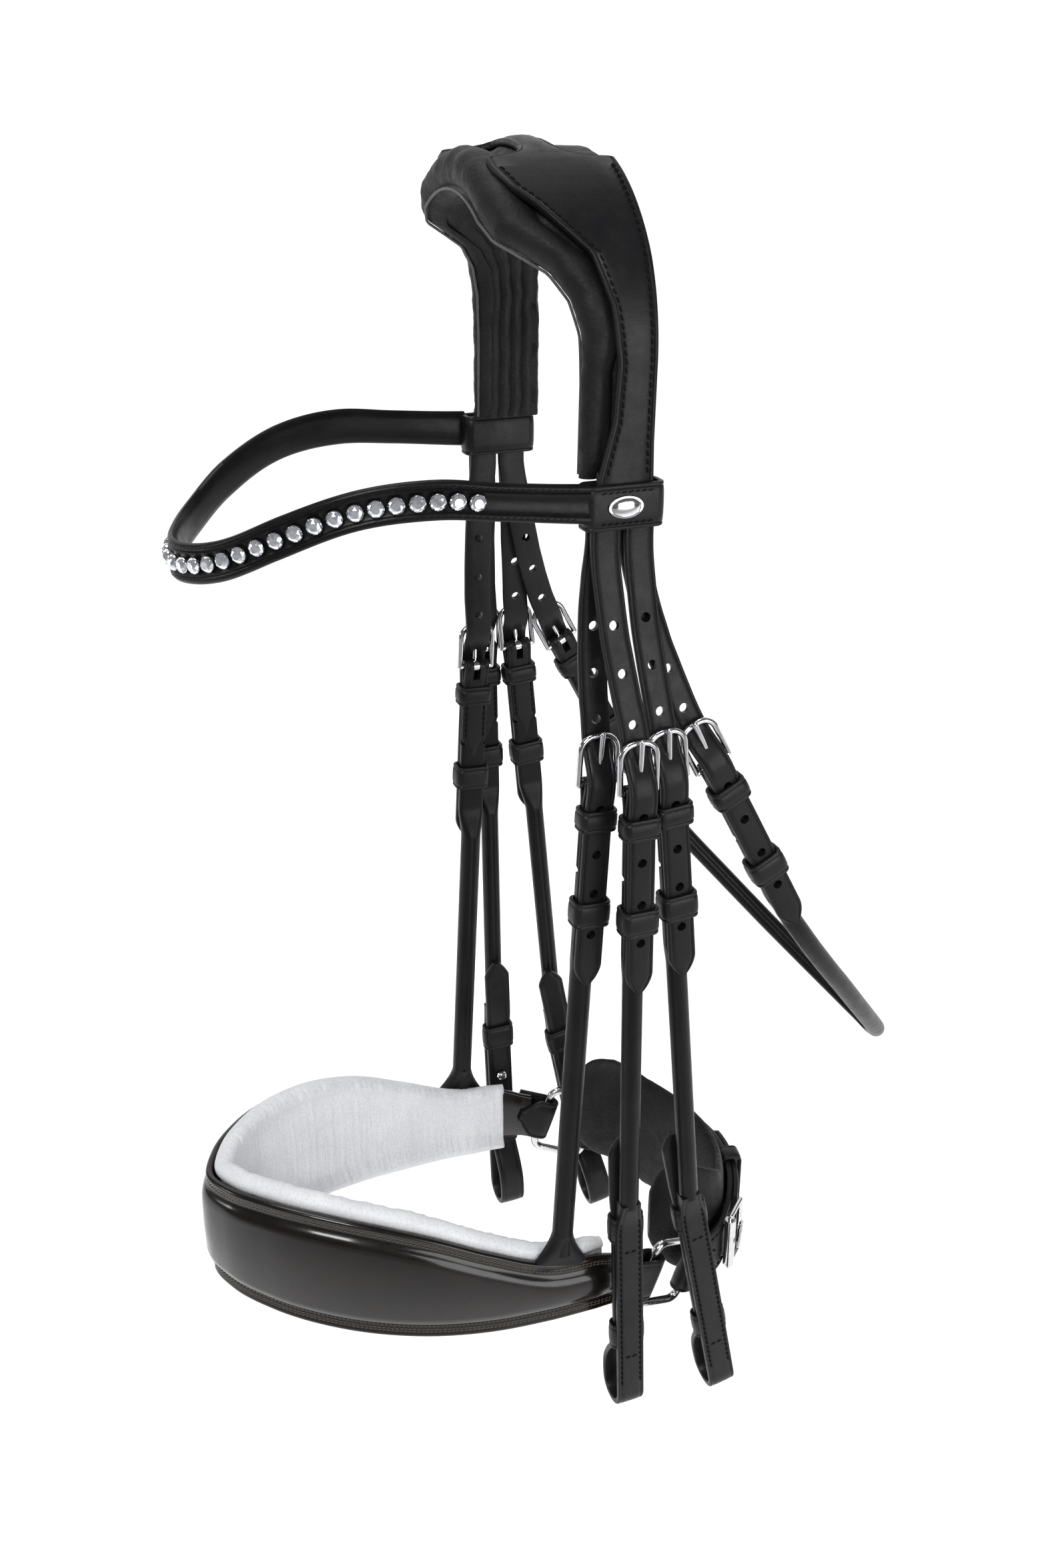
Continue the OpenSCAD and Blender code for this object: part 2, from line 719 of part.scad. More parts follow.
module loop_stud() {
    color("silver") translate([70.5, 12, -101.5]) rotate([0, 90, 0]) cylinder(d = stud_d, h = 1.6);
}

// ---- the parts ------------------------------------------------------------

ROOT_NODES = ["crown_pad", "headpiece", "noseband_buckles", "cheek_buckles", "throat_buckles"];
NOSE_NODES = ["noseband_leather", "noseband_padding", "noseband_rings", "chin_strap", "chin_strap_end",
              "chin_keeper", "chin_pad", "crank_buckle", "crank_roller", "crank_tongue"];
BROW_NODES = ["browband", "crystal_cups", "crystals", "loop_stud"];
SIDE_NODES = [for (side = SIDES) for (unit = UNITS) for (piece = ["tongue", "runner", "strap_end"])
    str(unit[0], "_", piece, "_", side[0])];
CHEEK_NODES = [for (side = SIDES) for (unit = CHEEKS) for (piece = ["strap", "billet", "stud"])
    str(UNITS[unit][0], "_", piece, "_", side[0])];
OTHER_NODES = ["under_strap_left", "under_strap_right", "noseband_hanger_left", "noseband_hanger_right",
               "throatlatch"];

crown_pad();
headpiece();
frames_of([NOSE]);  // noseband_buckles
frames_of(CHEEKS);  // cheek_buckles
frames_of([THROAT]);  // throat_buckles
browband();
crystal_cups();
crystals();
loop_stud();
throatlatch();
noseband_leather();
noseband_padding();
noseband_rings();
chin_strap();
chin_strap_end();
chin_keeper();
chin_pad();
crank_buckle();
crank_roller();
crank_tongue();
for (side = SIDES) {
    under_strap(side[1]);
    cheek_strap(NOSE, side[1], hanger_d, 224);
    for (unit = [NOSE : THROAT]) {
        strap_tongue(unit, side[1]);
        runner(unit, side[1]);
        strap_end(unit, side[1]);
    }
    for (i = [0 : len(BILLETS) - 1]) {
        unit = BILLETS[i][0];
        roll_end = -BILLETS[i][1];
        cheek_strap(unit, side[1], roll_d, roll_end);
        billet(i, side[1]);
        stud(i, side[1]);
    }
}
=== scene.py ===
"""Looks of a padded double bridle, built around its CAD frame.

Lengths in the tables below are millimetres, in the frame's axes: +Z up, the horse faces -Y,
+X is the horse's left. Each left piece is mirrored for the right side.
"""

import math

import bmesh
import bpy
import numpy as np
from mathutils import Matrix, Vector, noise


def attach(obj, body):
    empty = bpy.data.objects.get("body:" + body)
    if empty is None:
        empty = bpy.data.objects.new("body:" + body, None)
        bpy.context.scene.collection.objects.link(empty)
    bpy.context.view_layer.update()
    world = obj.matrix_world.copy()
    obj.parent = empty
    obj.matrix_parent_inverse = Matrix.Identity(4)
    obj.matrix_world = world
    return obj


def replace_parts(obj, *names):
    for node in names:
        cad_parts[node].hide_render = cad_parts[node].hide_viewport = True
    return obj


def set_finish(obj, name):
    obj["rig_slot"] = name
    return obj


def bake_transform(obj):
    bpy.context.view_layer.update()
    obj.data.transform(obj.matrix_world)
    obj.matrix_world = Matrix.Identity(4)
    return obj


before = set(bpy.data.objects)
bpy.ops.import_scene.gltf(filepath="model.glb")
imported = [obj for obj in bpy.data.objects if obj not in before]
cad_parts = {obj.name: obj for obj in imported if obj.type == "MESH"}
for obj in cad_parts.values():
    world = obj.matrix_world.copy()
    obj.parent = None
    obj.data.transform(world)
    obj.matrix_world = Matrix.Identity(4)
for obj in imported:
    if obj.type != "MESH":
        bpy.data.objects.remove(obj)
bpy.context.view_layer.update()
MM = 0.001
SIDES = {"left": 1, "right": -1}
OUT, AFT, UP = np.eye(3)

# Strap units: bar centre and lean in the Y-Z plane; local +Z runs up the strap, +X away from the head
UNITS = {
    "noseband": ((70, 3.5, -209), -2.9),
    "front_cheek": ((86.5, 13.5, -207), 0.8),
    "rear_cheek": ((81.8, 28.4, -206), 5.3),
    "throat": ((78, 49, -204.5), 28.0),
}
LOWER_BODY = {"noseband": "noseband", "throat": "throatlatch"}
STRAP_W, STRAP_T = 11.6, 2.4


# ---- points and curves ------------------------------------------------------

def unit(v):
    v = np.asarray(v, float)
    return v / np.maximum(np.linalg.norm(v, axis=-1, keepdims=True), 1e-12)


def cos_sin(degrees):
    return math.cos(math.radians(degrees)), math.sin(math.radians(degrees))


def about_x(points, degrees):
    c, s = cos_sin(degrees)
    p = np.asarray(points, float)
    return np.stack([p[..., 0], p[..., 1] * c - p[..., 2] * s, p[..., 1] * s + p[..., 2] * c], axis=-1)


def about_z(points, degrees):
    c, s = cos_sin(degrees)
    p = np.asarray(points, float)
    return np.stack([p[..., 0] * c - p[..., 1] * s, p[..., 0] * s + p[..., 1] * c, p[..., 2]], axis=-1)


def ease(f):
    """0 to 1 with a soft start and end."""
    f = np.clip(f, 0, 1)
    return f * f * (3 - 2 * f)


def smooth(points, step):
    """A smooth curve through the points, in equal steps of about that length."""
    p = np.array(points, float)
    t = np.concatenate([[0], np.cumsum(np.linalg.norm(np.diff(p, axis=0), axis=1))])
    slope = np.gradient(p, t, axis=0)
    s = np.linspace(0, t[-1], max(2, int(round(t[-1] / step))) + 1)
    i = np.clip(np.searchsorted(t, s, "right") - 1, 0, len(p) - 2)
    h = (t[i + 1] - t[i])[:, None]
    u = (s - t[i])[:, None] / h
    return ((2 * u**3 - 3 * u**2 + 1) * p[i] + (u**3 - 2 * u**2 + u) * h * slope[i]
            + (3 * u**2 - 2 * u**3) * p[i + 1] + (u**3 - u**2) * h * slope[i + 1])


def length_along(path):
    return np.concatenate([[0], np.cumsum(np.linalg.norm(np.diff(path, axis=0), axis=1))])


def loop_tangent(path):
    return unit(np.roll(path, -1, axis=0) - np.roll(path, 1, axis=0))


def axes_along(path, out):
    """Tangent, width and outward directions at each point of a path."""
    tangent = unit(np.gradient(path, axis=0))
    width = unit(np.cross(tangent, np.broadcast_to(out, path.shape)))
    return tangent, width, np.cross(width, tangent)


def at_z(z, yz, xz):
    """A point of a strap whose middle line is given from the side and from the front."""
    y = np.interp(-z, [-p[1] for p in yz], [p[0] for p in yz])
    x = np.interp(-z, [-p[1] for p in xz], [p[0] for p in xz])
    return (x, y, z)


def local_to_frame(name, points):
    place, lean = UNITS[name]
    return about_x(points, lean) + place


def rounded_loop(x0, x1, y0, y1, r, steps=5):
    """Points of a rounded rectangle, anticlockwise."""
    out = []
    for cx, cy, a in ((x1 - r, y1 - r, 0), (x0 + r, y1 - r, 90), (x0 + r, y0 + r, 180),
                      (x1 - r, y0 + r, 270)):
        for k in range(steps + 1):
            b = math.radians(a + 90 * k / steps)
            out.append((cx + r * math.cos(b), cy + r * math.sin(b)))
    return np.array(out)


# ---- cross-sections: (across, outward) --------------------------------------

def strap_section(a, h, crease=1.5, depth=0.28, swell=0.15):
    """Flat leather with rounded edges and a crease line inside each outer edge."""
    r = min(0.75, 0.8 * h)
    c = min(crease, 0.4 * a)
    half = [(a, h - r), (a - 0.3 * r, h - 0.3 * r), (a - r, h), (a - c + 0.4 * c / crease, h),
            (a - c, h - depth * c / crease), (a - c - 0.45 * c / crease, h), (0.45 * a, h + 0.8 * swell)]
    back = [(a, r - h), (a - 0.3 * r, 0.3 * r - h), (a - r, -h), (0.3 * a, -h)]
    left = [(-x, y) for x, y in half]
    return np.array(left + [(0, h + swell)] + half[::-1] + back + [(-x, y) for x, y in back[::-1]])


def oval_section(a, h, power, n=28, dent=0.0):
    """A superellipse: power 2 is round, 6 is nearly a rectangle. dent is the depth of a seam at the back."""
    t = np.linspace(0, 2 * math.pi, n, endpoint=False) + math.pi / 2
    c, s = np.cos(t), np.sin(t)
    x = a * np.sign(c) * np.abs(c) ** (2 / power)
    y = h * np.sign(s) * np.abs(s) ** (2 / power)
    seam = dent * np.exp(-((t - 1.5 * math.pi) / 0.16) ** 2)
    return np.stack([x, y + seam], axis=1)


# ---- meshes -----------------------------------------------------------------

def piece(name, verts, faces, material, slot, body=None, uv=None, angle=38):
    """Makes an object from vertices in millimetres."""
    mesh = bpy.data.meshes.new(name)
    mesh.from_pydata((np.asarray(verts, float) * MM).tolist(), [], faces)
    if uv is not None:
        layer = mesh.uv_layers.new(name="UVMap")
        layer.data.foreach_set("uv", np.asarray(uv, float).ravel() * MM)
    b = bmesh.new()
    b.from_mesh(mesh)
    bmesh.ops.recalc_face_normals(b, faces=b.faces)
    b.to_mesh(mesh)
    b.free()
    mesh.polygons.foreach_set("use_smooth", [True] * len(mesh.polygons))
    mesh.set_sharp_from_angle(angle=math.radians(angle))
    obj = bpy.data.objects.new(name, mesh)
    bpy.context.scene.collection.objects.link(obj)
    obj.data.materials.append(material)
    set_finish(obj, slot)
    if body:
        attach(obj, body)
    return obj


def loft_mesh(rings, closed=False):
    """Vertices, faces and a UV (along, around) for rings of points."""
    rings = np.asarray(rings, float)
    count, n = rings.shape[:2]
    along = np.concatenate([[0], np.cumsum(np.linalg.norm(np.diff(rings.mean(1), axis=0), axis=1))])
    middle = rings[count // 2]
    around = np.concatenate([[0], np.cumsum(np.linalg.norm(np.diff(np.vstack([middle, middle[:1]]), axis=0),
                                                           axis=1))])
    faces, uv = [], []
    for i in range(count if closed else count - 1):
        j = (i + 1) % count
        u0, u1 = along[i], along[j] if j else along[i] + np.linalg.norm(rings[i].mean(0) - rings[0].mean(0))
        for k in range(n):
            m = (k + 1) % n
            faces.append((i * n + k, j * n + k, j * n + m, i * n + m))
            uv += [(u0, around[k]), (u1, around[k]), (u1, around[k + 1]), (u0, around[k + 1])]
    if not closed:
        for start, order in ((0, range(n)), ((count - 1) * n, range(n - 1, -1, -1))):
            faces.append(tuple(start + k for k in order))
            uv += [(rings[start // n, k] - rings[start // n, 0])[:2] for k in order]
    return rings.reshape(-1, 3), faces, uv


def loft(name, rings, material, slot, body=None, closed=False, sign=1, angle=38):
    verts, faces, uv = loft_mesh(rings, closed)
    return piece(name, verts * (sign, 1, 1), faces, material, slot, body, uv, angle)


def leather_loft(name, rings, body=None, **how):
    return loft(name, rings, LEATHER, "leather", body, **how)


def rings_on(path, width, outward, sections):
    """A ring at each point of a path, from (across, outward) sections and the directions of both."""
    width, outward = (np.broadcast_to(v, path.shape) for v in (width, outward))
    sections = np.broadcast_to(sections, (len(path),) + np.shape(sections)[-2:])
    return path[:, None] + sections[..., :1] * width[:, None] + sections[..., 1:] * outward[:, None]


def sweep_rings(path, out, sections):
    _, width, outward = axes_along(path, out)
    return rings_on(path, width, outward, sections)


def flat_row(line, out):
    """A stitch line whose outward direction is the same all along."""
    return line, np.tile(out, (len(line), 1))


def standing_row(path, outward, out, height, trim=6):
    """A stitch line on a standing piece, that far outside its path."""
    line = path + outward * out
    line[:, 2] = height
    return line[trim:-trim], outward[trim:-trim]


def merge(parts):
    """Joins (verts, faces) lists into one."""
    verts, faces, base = [], [], 0
    for v, f in parts:
        verts.append(v)
        faces += [tuple(base + k for k in face) for face in f]
        base += len(v)
    return np.vstack(verts), faces


def stitch_template(length, radius):
    rings = []
    for x, r in ((-0.5, 0.35), (-0.38, 0.9), (0, 1.0), (0.38, 0.9), (0.5, 0.35)):
        t = np.linspace(0, 2 * math.pi, 6, endpoint=False)
        rings.append(np.stack([np.full(6, x * length), r * radius * np.cos(t), r * radius * np.sin(t)],
                              axis=1))
    verts, faces, _ = loft_mesh(np.array(rings))
    return verts, faces


def stitch_rows(name, rows, body, sign=1, length=2.2, radius=0.34, pitch=3.0, turn=12, slot="leather"):
    """One object of all the stitches on rows of (path, outward). Brown on patent, black on the rest."""
    verts, faces = stitch_template(length, radius)
    parts = []
    c, s = cos_sin(turn)
    for path, outward in rows:
        run = length_along(path)
        count = int((run[-1] - length) / pitch)
        if count < 1:
            continue
        stops = (run[-1] - count * pitch) / 2 + pitch * (np.arange(count + 1))
        centre = np.stack([np.interp(stops, run, path[:, k]) for k in range(3)], axis=1)
        ahead = np.stack([np.interp(stops + 0.3, run, path[:, k]) - np.interp(stops - 0.3, run, path[:, k])
                          for k in range(3)], axis=1)
        up = unit(np.stack([np.interp(stops, run, outward[:, k]) for k in range(3)], axis=1))
        ahead = unit(ahead)
        side = np.cross(up, ahead)
        x, y = c * ahead + s * side, c * side - s * ahead
        for p, ax, ay, az in zip(centre, x, y, up):
            parts.append((p + verts[:, :1] * ax + verts[:, 1:2] * ay + verts[:, 2:] * az, faces))
    verts, faces = merge(parts)
    thread_used = BROWN_THREAD if slot == "patent" else BLACK_THREAD
    return piece(name, verts * (sign, 1, 1), faces, thread_used, slot, body, angle=80)


def cut(obj, cutters):
    """Takes (verts, faces) solids, in millimetres, out of an object's mesh."""
    verts, faces = merge(cutters)
    tool = piece("cutter", verts, faces, obj.data.materials[0], obj["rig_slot"])
    mod = obj.modifiers.new("cut", "BOOLEAN")
    mod.operation, mod.solver, mod.object = "DIFFERENCE", "EXACT", tool
    graph = bpy.context.evaluated_depsgraph_get()
    mesh = bpy.data.meshes.new_from_object(obj.evaluated_get(graph))
    obj.modifiers.clear()
    obj.data = mesh
    bpy.data.objects.remove(tool)
    mesh.set_sharp_from_angle(angle=math.radians(38))


def peg(centre, direction, radius, length, sides=20):
    """A round cutter."""
    d = unit(direction)
    a = unit(np.cross(d, (0.3, 0.9, 0.2)))
    b = np.cross(d, a)
    t = np.linspace(0, 2 * math.pi, sides, endpoint=False)
    ring = np.array(centre) + radius * (np.cos(t)[:, None] * a + np.sin(t)[:, None] * b)
    verts, faces, _ = loft_mesh(np.array([ring - d * length / 2, ring + d * length / 2]))
    return verts, faces


def ruffle(points, size, depth, stretch=(1, 1, 1), seed=0.0):
    """Noise at each point, to move a soft surface by."""
    s = np.array(stretch, float) / size
    return np.array([noise.noise(Vector(p * s) + Vector((seed, seed, seed))) for p in points]) * depth


# ---- materials --------------------------------------------------------------

def nodes_of(name):
    mat = bpy.data.materials.new(name)
    mat.use_nodes = True
    tree = mat.node_tree
    return mat, tree, tree.nodes["Principled BSDF"]


def feed(tree, node, **values):
    """Gives inputs, with _ for a space in their names, a value or another node's output."""
    for key, value in values.items():
        socket = node.inputs[key.replace("_", " ")]
        if isinstance(value, bpy.types.NodeSocket):
            tree.links.new(value, socket)
        else:
            socket.default_value = value


def add_node(tree, kind, inputs, **settings):
    node = tree.nodes.new(kind)
    for key, value in settings.items():
        setattr(node, key, value)
    feed(tree, node, **inputs)
    return node


def noise_at(tree, vector, scale, detail=3, rough=0.55):
    inputs = dict(Vector=vector, Scale=scale, Detail=detail, Roughness=rough)
    return add_node(tree, "ShaderNodeTexNoise", inputs).outputs["Fac"]


def ramp(tree, fac, stops):
    node = tree.nodes.new("ShaderNodeValToRGB")
    while len(node.color_ramp.elements) < len(stops):
        node.color_ramp.elements.new(0.5)
    for element, (place, colour) in zip(node.color_ramp.elements, stops):
        element.position = place
        element.color = (*colour, 1) if len(colour) == 3 else colour
    tree.links.new(fac, node.inputs["Fac"])
    return node.outputs["Color"]


def to_range(tree, fac, low, high, a=0.3, b=0.7):
    inputs = dict(Value=fac, From_Min=a, From_Max=b, To_Min=low, To_Max=high)
    return add_node(tree, "ShaderNodeMapRange", inputs).outputs["Result"]


def bump(tree, height, distance, strength=1.0, below=None):
    inputs = dict(Height=height, Strength=strength, Distance=distance)
    if below is not None:
        inputs["Normal"] = below
    return add_node(tree, "ShaderNodeBump", inputs).outputs["Normal"]


def leather(name, dark, light, rough, grain=0.9, grain_depth=0.05, pores=0.35, coat=0.0, coat_rough=0.2,
            wrinkle=None, scuff=0.08, specular=0.5):
    """Grained leather. Sizes are millimetres; wrinkle is (along, across, depth) on the strip's own UV."""
    mat, tree, shader = nodes_of(name)
    place = tree.nodes.new("ShaderNodeTexCoord")
    spot = place.outputs["Object"]
    cells = tree.nodes.new("ShaderNodeTexVoronoi")
    cells.feature = "SMOOTH_F1"
    feed(tree, cells, Vector=spot, Scale=1000 / grain, Smoothness=0.6)
    patches = noise_at(tree, spot, 45, 4)
    colour = ramp(tree, patches, [(0.3, dark), (0.7, light)])
    # Multiplying by the grain cells darkens each cell's middle, where the grain bump sinks, to 0.62: painted
    # shade in the grain's hollows.
    shade = add_node(tree, "ShaderNodeMix", {}, data_type="RGBA", blend_type="MULTIPLY")
    shade.inputs[0].default_value = 0.5
    tree.links.new(colour, shade.inputs[6])
    tree.links.new(ramp(tree, cells.outputs["Distance"], [(0.0, (0.62, 0.62, 0.62)), (0.5, (1, 1, 1))]),
                   shade.inputs[7])
    smear = noise_at(tree, spot, 160, 5, 0.7)
    normal = bump(tree, patches, 0.0006, 0.35)
    normal = bump(tree, cells.outputs["Distance"], grain_depth * MM, 1.0, normal)
    normal = bump(tree, noise_at(tree, spot, 1000 / pores, 2), grain_depth * 0.5 * MM, 0.8, normal)
    if wrinkle:
        along, across, depth = wrinkle
        stretch = tree.nodes.new("ShaderNodeMapping")
        stretch.inputs["Scale"].default_value = (1000 / along, 1000 / across, 1)
        tree.links.new(place.outputs["UV"], stretch.inputs["Vector"])
        normal = bump(tree, noise_at(tree, stretch.outputs["Vector"], 1.0, 4, 0.6), depth * MM, 1.0, normal)
    feed(tree, shader, Base_Color=shade.outputs[2], Normal=normal, Coat_Weight=coat,
         Coat_Roughness=coat_rough,
         Roughness=to_range(tree, smear, rough - scuff, rough + scuff), Specular_IOR_Level=specular)
    return mat


def thread(name, dark, light):
    """Waxed thread with a fine twist."""
    mat, tree, shader = nodes_of(name)
    spot = tree.nodes.new("ShaderNodeTexCoord").outputs["Object"]
    inputs = dict(Vector=spot, Scale=900, Distortion=2.0, Detail=1.0)
    twist = add_node(tree, "ShaderNodeTexWave", inputs, bands_direction="DIAGONAL").outputs["Fac"]
    # The colour runs dark to light with the same twist that drives the bump, so the grooves are darker:
    # painted shade.
    feed(tree, shader, Base_Color=ramp(tree, twist, [(0.1, dark), (0.9, light)]),
         Normal=bump(tree, twist, 0.00008),
         Roughness=to_range(tree, noise_at(tree, spot, 700), 0.55, 0.8), Specular_IOR_Level=0.12)
    return mat


def polished(name, tint, rough):
    """Bright plated metal with faint rub marks."""
    mat, tree, shader = nodes_of(name)
    spot = tree.nodes.new("ShaderNodeTexCoord").outputs["Object"]
    dim = tuple(0.82 * c for c in tint)
    film = ramp(tree, noise_at(tree, spot, 220, 5, 0.7), [(0.3, dim), (0.6, tint)])
    feed(tree, shader, Metallic=1.0, Base_Color=film, Normal=bump(tree, noise_at(tree, spot, 1500, 3),
                                                                  0.00001, 0.6),
         Roughness=to_range(tree, noise_at(tree, spot, 900, 4), rough * 0.5, rough * 1.6))
    return mat


def cut_glass(name):
    """Foil-backed cut crystal. Noise paints bright and dark patches into its colour, a painted sparkle of lit
    and unlit facets, and also varies the roughness.
    """
    mat, tree, shader = nodes_of(name)
    spot = tree.nodes.new("ShaderNodeTexCoord").outputs["Object"]
    sparkle_noise = noise_at(tree, spot, 420, 2)
    # Painted sparkle: bright and dark patches in the colour, from noise.
    facets = [(0.35, (0.62, 0.66, 0.74)), (0.5, (0.95, 0.96, 1.0)), (0.65, (0.78, 0.8, 0.86))]
    feed(tree, shader, Base_Color=ramp(tree, sparkle_noise, facets), Roughness=to_range(tree, sparkle_noise, 0.02, 0.07),
         Metallic=0.85,
         IOR=1.75, Coat_Weight=1.0, Coat_Roughness=0.01)
    return mat


LEATHER = leather("bridle_leather", (0.005, 0.005, 0.006), (0.010, 0.0095, 0.0105), 0.42, grain=0.8,
                  grain_depth=0.035,
                  coat=0.03, coat_rough=0.3, wrinkle=(5, 30, 0.10), specular=0.2)
ROLLED = leather("rolled_leather", (0.004, 0.004, 0.0045), (0.008, 0.0075, 0.0075), 0.36, grain=0.7,
                 grain_depth=0.03,
                 coat=0.04, coat_rough=0.25, wrinkle=(30, 3, 0.10), specular=0.14)
PATENT = leather("polished_leather", (0.004, 0.0028, 0.0024), (0.008, 0.0055, 0.0046), 0.3, grain=1.4,
                 grain_depth=0.02,
                 coat=0.6, coat_rough=0.13, wrinkle=(8, 40, 0.10), specular=0.15)
NAPPA = leather("soft_leather", (0.006, 0.006, 0.0066), (0.013, 0.013, 0.014), 0.55, grain=1.5,
                grain_depth=0.14,
                wrinkle=(6, 18, 0.25), scuff=0.12, specular=0.2)
WHITE = leather("white_soft_leather", (0.64, 0.645, 0.67), (0.72, 0.725, 0.745), 0.5, grain=1.1,
                grain_depth=0.05,
                wrinkle=(1.4, 9, 0.35), scuff=0.06)
PIPING = leather("piping", (0.05, 0.05, 0.05), (0.09, 0.088, 0.085), 0.5, grain=0.8, grain_depth=0.05)
BLACK_THREAD = thread("black_thread", (0.0015, 0.0015, 0.0017), (0.006, 0.006, 0.0065))
BROWN_THREAD = thread("brown_thread", (0.05, 0.040, 0.030), (0.16, 0.135, 0.105))
CHROME = polished("chrome", (0.72, 0.72, 0.74), 0.1)
STEEL = polished("stainless_steel", (0.72, 0.72, 0.73), 0.16)
CRYSTAL = cut_glass("crystal_glass")


# ---- crown: pieces bent over the poll ---------------------------------------

CROWN_Z, CROWN_R, REF_R = -52.0, 52.0, 62.0
QUARTER = REF_R * math.pi / 2


def arch(u, rho):
    """Point and outward direction on an arch of that radius; u is the distance from the top at REF_R."""
    a = min(abs(u), QUARTER) / REF_R
    side = 1.0 if u >= 0 else -1.0
    n = np.array([side * math.sin(a), 0.0, math.cos(a)])
    drop = max(0.0, abs(u) - QUARTER)
    return np.array([0, 0, CROWN_Z - drop]) + rho * n, n


def crown_lift(u):
    """How far the leather and the padding's outer face stand up over the poll."""
    return 4.0 * math.cos(min(abs(u), QUARTER) / REF_R) ** 2


def arch_stations(bottom, step, fine=()):
    """Distances from the top down both legs to a height, with smaller steps inside fine."""
    end = QUARTER + CROWN_Z - bottom
    half = [0.0]
    while half[-1] < end - 1e-6:
        inside = fine and fine[0] < half[-1] < fine[1]
        half.append(min(end, half[-1] + (step / 3 if inside else step)))
    return np.array([-u for u in half[:0:-1]] + half)


def arch_rings(stations, section):
    """section(u, z, x) gives (y, rho) points."""
    rings = []
    for u in stations:
        middle, _ = arch(u, REF_R)
        ring = []
        for y, rho in section(u, middle[2], abs(middle[0])):
            p, _ = arch(u, rho)
            ring.append((p[0], y, p[2]))
        rings.append(ring)
    return np.array(rings)


PAD_FRONT = [(-92.5, 0), (-60, 0.5), (-42, 0), (-29, -3), (-19, -9), (-12.5, -18), (-7, -26), (0, -29),
             (20, -29)]
PAD_REAR = [(-92.5, 28), (-60, 28.5), (-40, 28), (-20, 26.5), (0, 25), (20, 25)]
HEAD_FRONT = [(-119, 0.6), (-107, 0.6), (-93, 3), (-72, 8.5), (-52, 10), (-34, 8), (-18.5, 3), (-5, -13),
              (-1, -19),
              (4, -23), (20, -24)]
HEAD_REAR = [(-119, 25.6), (-107, 25), (-80, 24.5), (-52, 25), (-20, 25.5), (3, 25), (20, 24.5)]
WAIST_FRONT = [(0, -7), (9, -7), (13, -7.4), (17, -9.5), (19, -13), (21, -20), (23, -30)]
WAIST_REAR = [(0, 6), (9, 6), (13, 6.4), (17, 8.5), (20, 12), (22, 19), (23, 30)]


def look_up(table, x):
    return float(np.interp(x, [p[0] for p in table], [p[1] for p in table]))


def pad_section(u, z, x):
    y0, y1 = look_up(PAD_FRONT, z), look_up(PAD_REAR, z)
    thick = 9.9 + 2.7 * min(1, max(0, (z + 56) / 14)) + crown_lift(u)
    fade = min(1, max(0, (z + 93.2) / 6))
    r = thick / 2 * (0.72 + 0.28 * fade)
    points = []
    for f in np.linspace(0, 1, 21):                   # inner face, sewn into four soft channels
        y = y1 - 3.5 - f * (y1 - 3.5 - y0 - r)
        scallop = 1.1 * (1 - abs(math.sin(4 * math.pi * f)) ** 0.6)
        points.append((y, CROWN_R + 0.25 + scallop + 0.25 * math.sin(u / 3.1 + 5 * f)))
    for a in np.linspace(-80, -290, 15):              # rolled front edge
        c, s = cos_sin(a)
        points.append((y0 + r + r * c, CROWN_R + thick / 2 + r * s))
    for dy, drop in ((2 * r + 0.2, 2.6), (2 * r + 1.2, 3.4), (2 * r + 2.4, 2.4), (2 * r + 5, 1.0)):
        points.append((y0 + dy, CROWN_R + thick - drop))
    for f in np.linspace(0.2, 1, 6):
        points.append((y0 + 2 * r + 5 + f * (y1 - 3 - y0 - 2 * r - 5),
                       CROWN_R + thick - 0.9 + 0.3 * math.sin(math.pi * f)))
    for a in np.linspace(70, -70, 7):                 # rear edge
        c, s = cos_sin(a)
        points.append((y1 - 3 + 3 * c, CROWN_R + thick / 2 + (thick / 2 - 0.6) * s))
    return points


def crown_pad():
    rings = arch_rings(arch_stations(-93.2, 1.4), pad_section)
    centre = rings.mean(1, keepdims=True)
    flat = rings.reshape(-1, 3)
    puff = ruffle(flat, 7, 0.5, (1, 0.35, 1), 3.1) + ruffle(flat, 2.4, 0.22, (1, 0.3, 1), 8.7)
    rings = rings + unit(rings - centre) * puff.reshape(rings.shape[:2] + (1,))
    obj = loft("crown_padding", rings, NAPPA, "nappa", "crown", angle=60)
    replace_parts(obj, "crown_pad")
    pipe = []
    for u in arch_stations(-92.3, 2):
        middle, _ = arch(u, REF_R)
        p, _ = arch(u, CROWN_R + 2.2)
        pipe.append((p[0], look_up(PAD_FRONT, middle[2]) + 0.7, p[2]))
    rings = sweep_rings(np.array(pipe), AFT, oval_section(0.55, 0.55, 2, 8))
    loft("crown_piping", rings, PIPING, "nappa", "crown", angle=80)


def head_edges(z, x):
    front, rear = look_up(HEAD_FRONT, z), look_up(HEAD_REAR, z)
    if x < 23 and z > CROWN_Z:
        front, rear = max(front, look_up(WAIST_FRONT, x)), min(rear, look_up(WAIST_REAR, x))
    return front, rear


def head_section(u, z, x):
    front, rear = head_edges(z, x)
    a, mid = (rear - front) / 2, (rear + front) / 2
    neck = 0.9 * max(0.0, 1 - x / 20) if z > CROWN_Z else 0.0
    return [(mid - w, 66.5 + 0.75 * crown_lift(u) + t) for w,
            t in strap_section(a, 1.4, 1.7, 0.35, 0.2 + neck)]


def arch_row(inset, edge, rho, bottom, top_u):
    """Stitch line on both legs, that far inside one edge of the headpiece."""
    rows = []
    for side in (1, -1):
        path, outward = [], []
        for u in np.arange(top_u, QUARTER + CROWN_Z - bottom, 1.0):
            p, n = arch(side * u, rho + 0.75 * crown_lift(u))
            ref, _ = arch(u, REF_R)
            front, rear = head_edges(ref[2], abs(ref[0]))
            path.append((p[0], front + inset if edge == "front" else rear - inset, p[2]))
            outward.append(n)
        rows.append((np.array(path), np.array(outward)))
    return rows


# Under straps: middle, radius and half width, and where the part seen below the padding starts and ends
UNDER_Y, UNDER_RHO, UNDER_A, UNDER_START, UNDER_END = 14.6, 63.55, 10.6, 38, 57


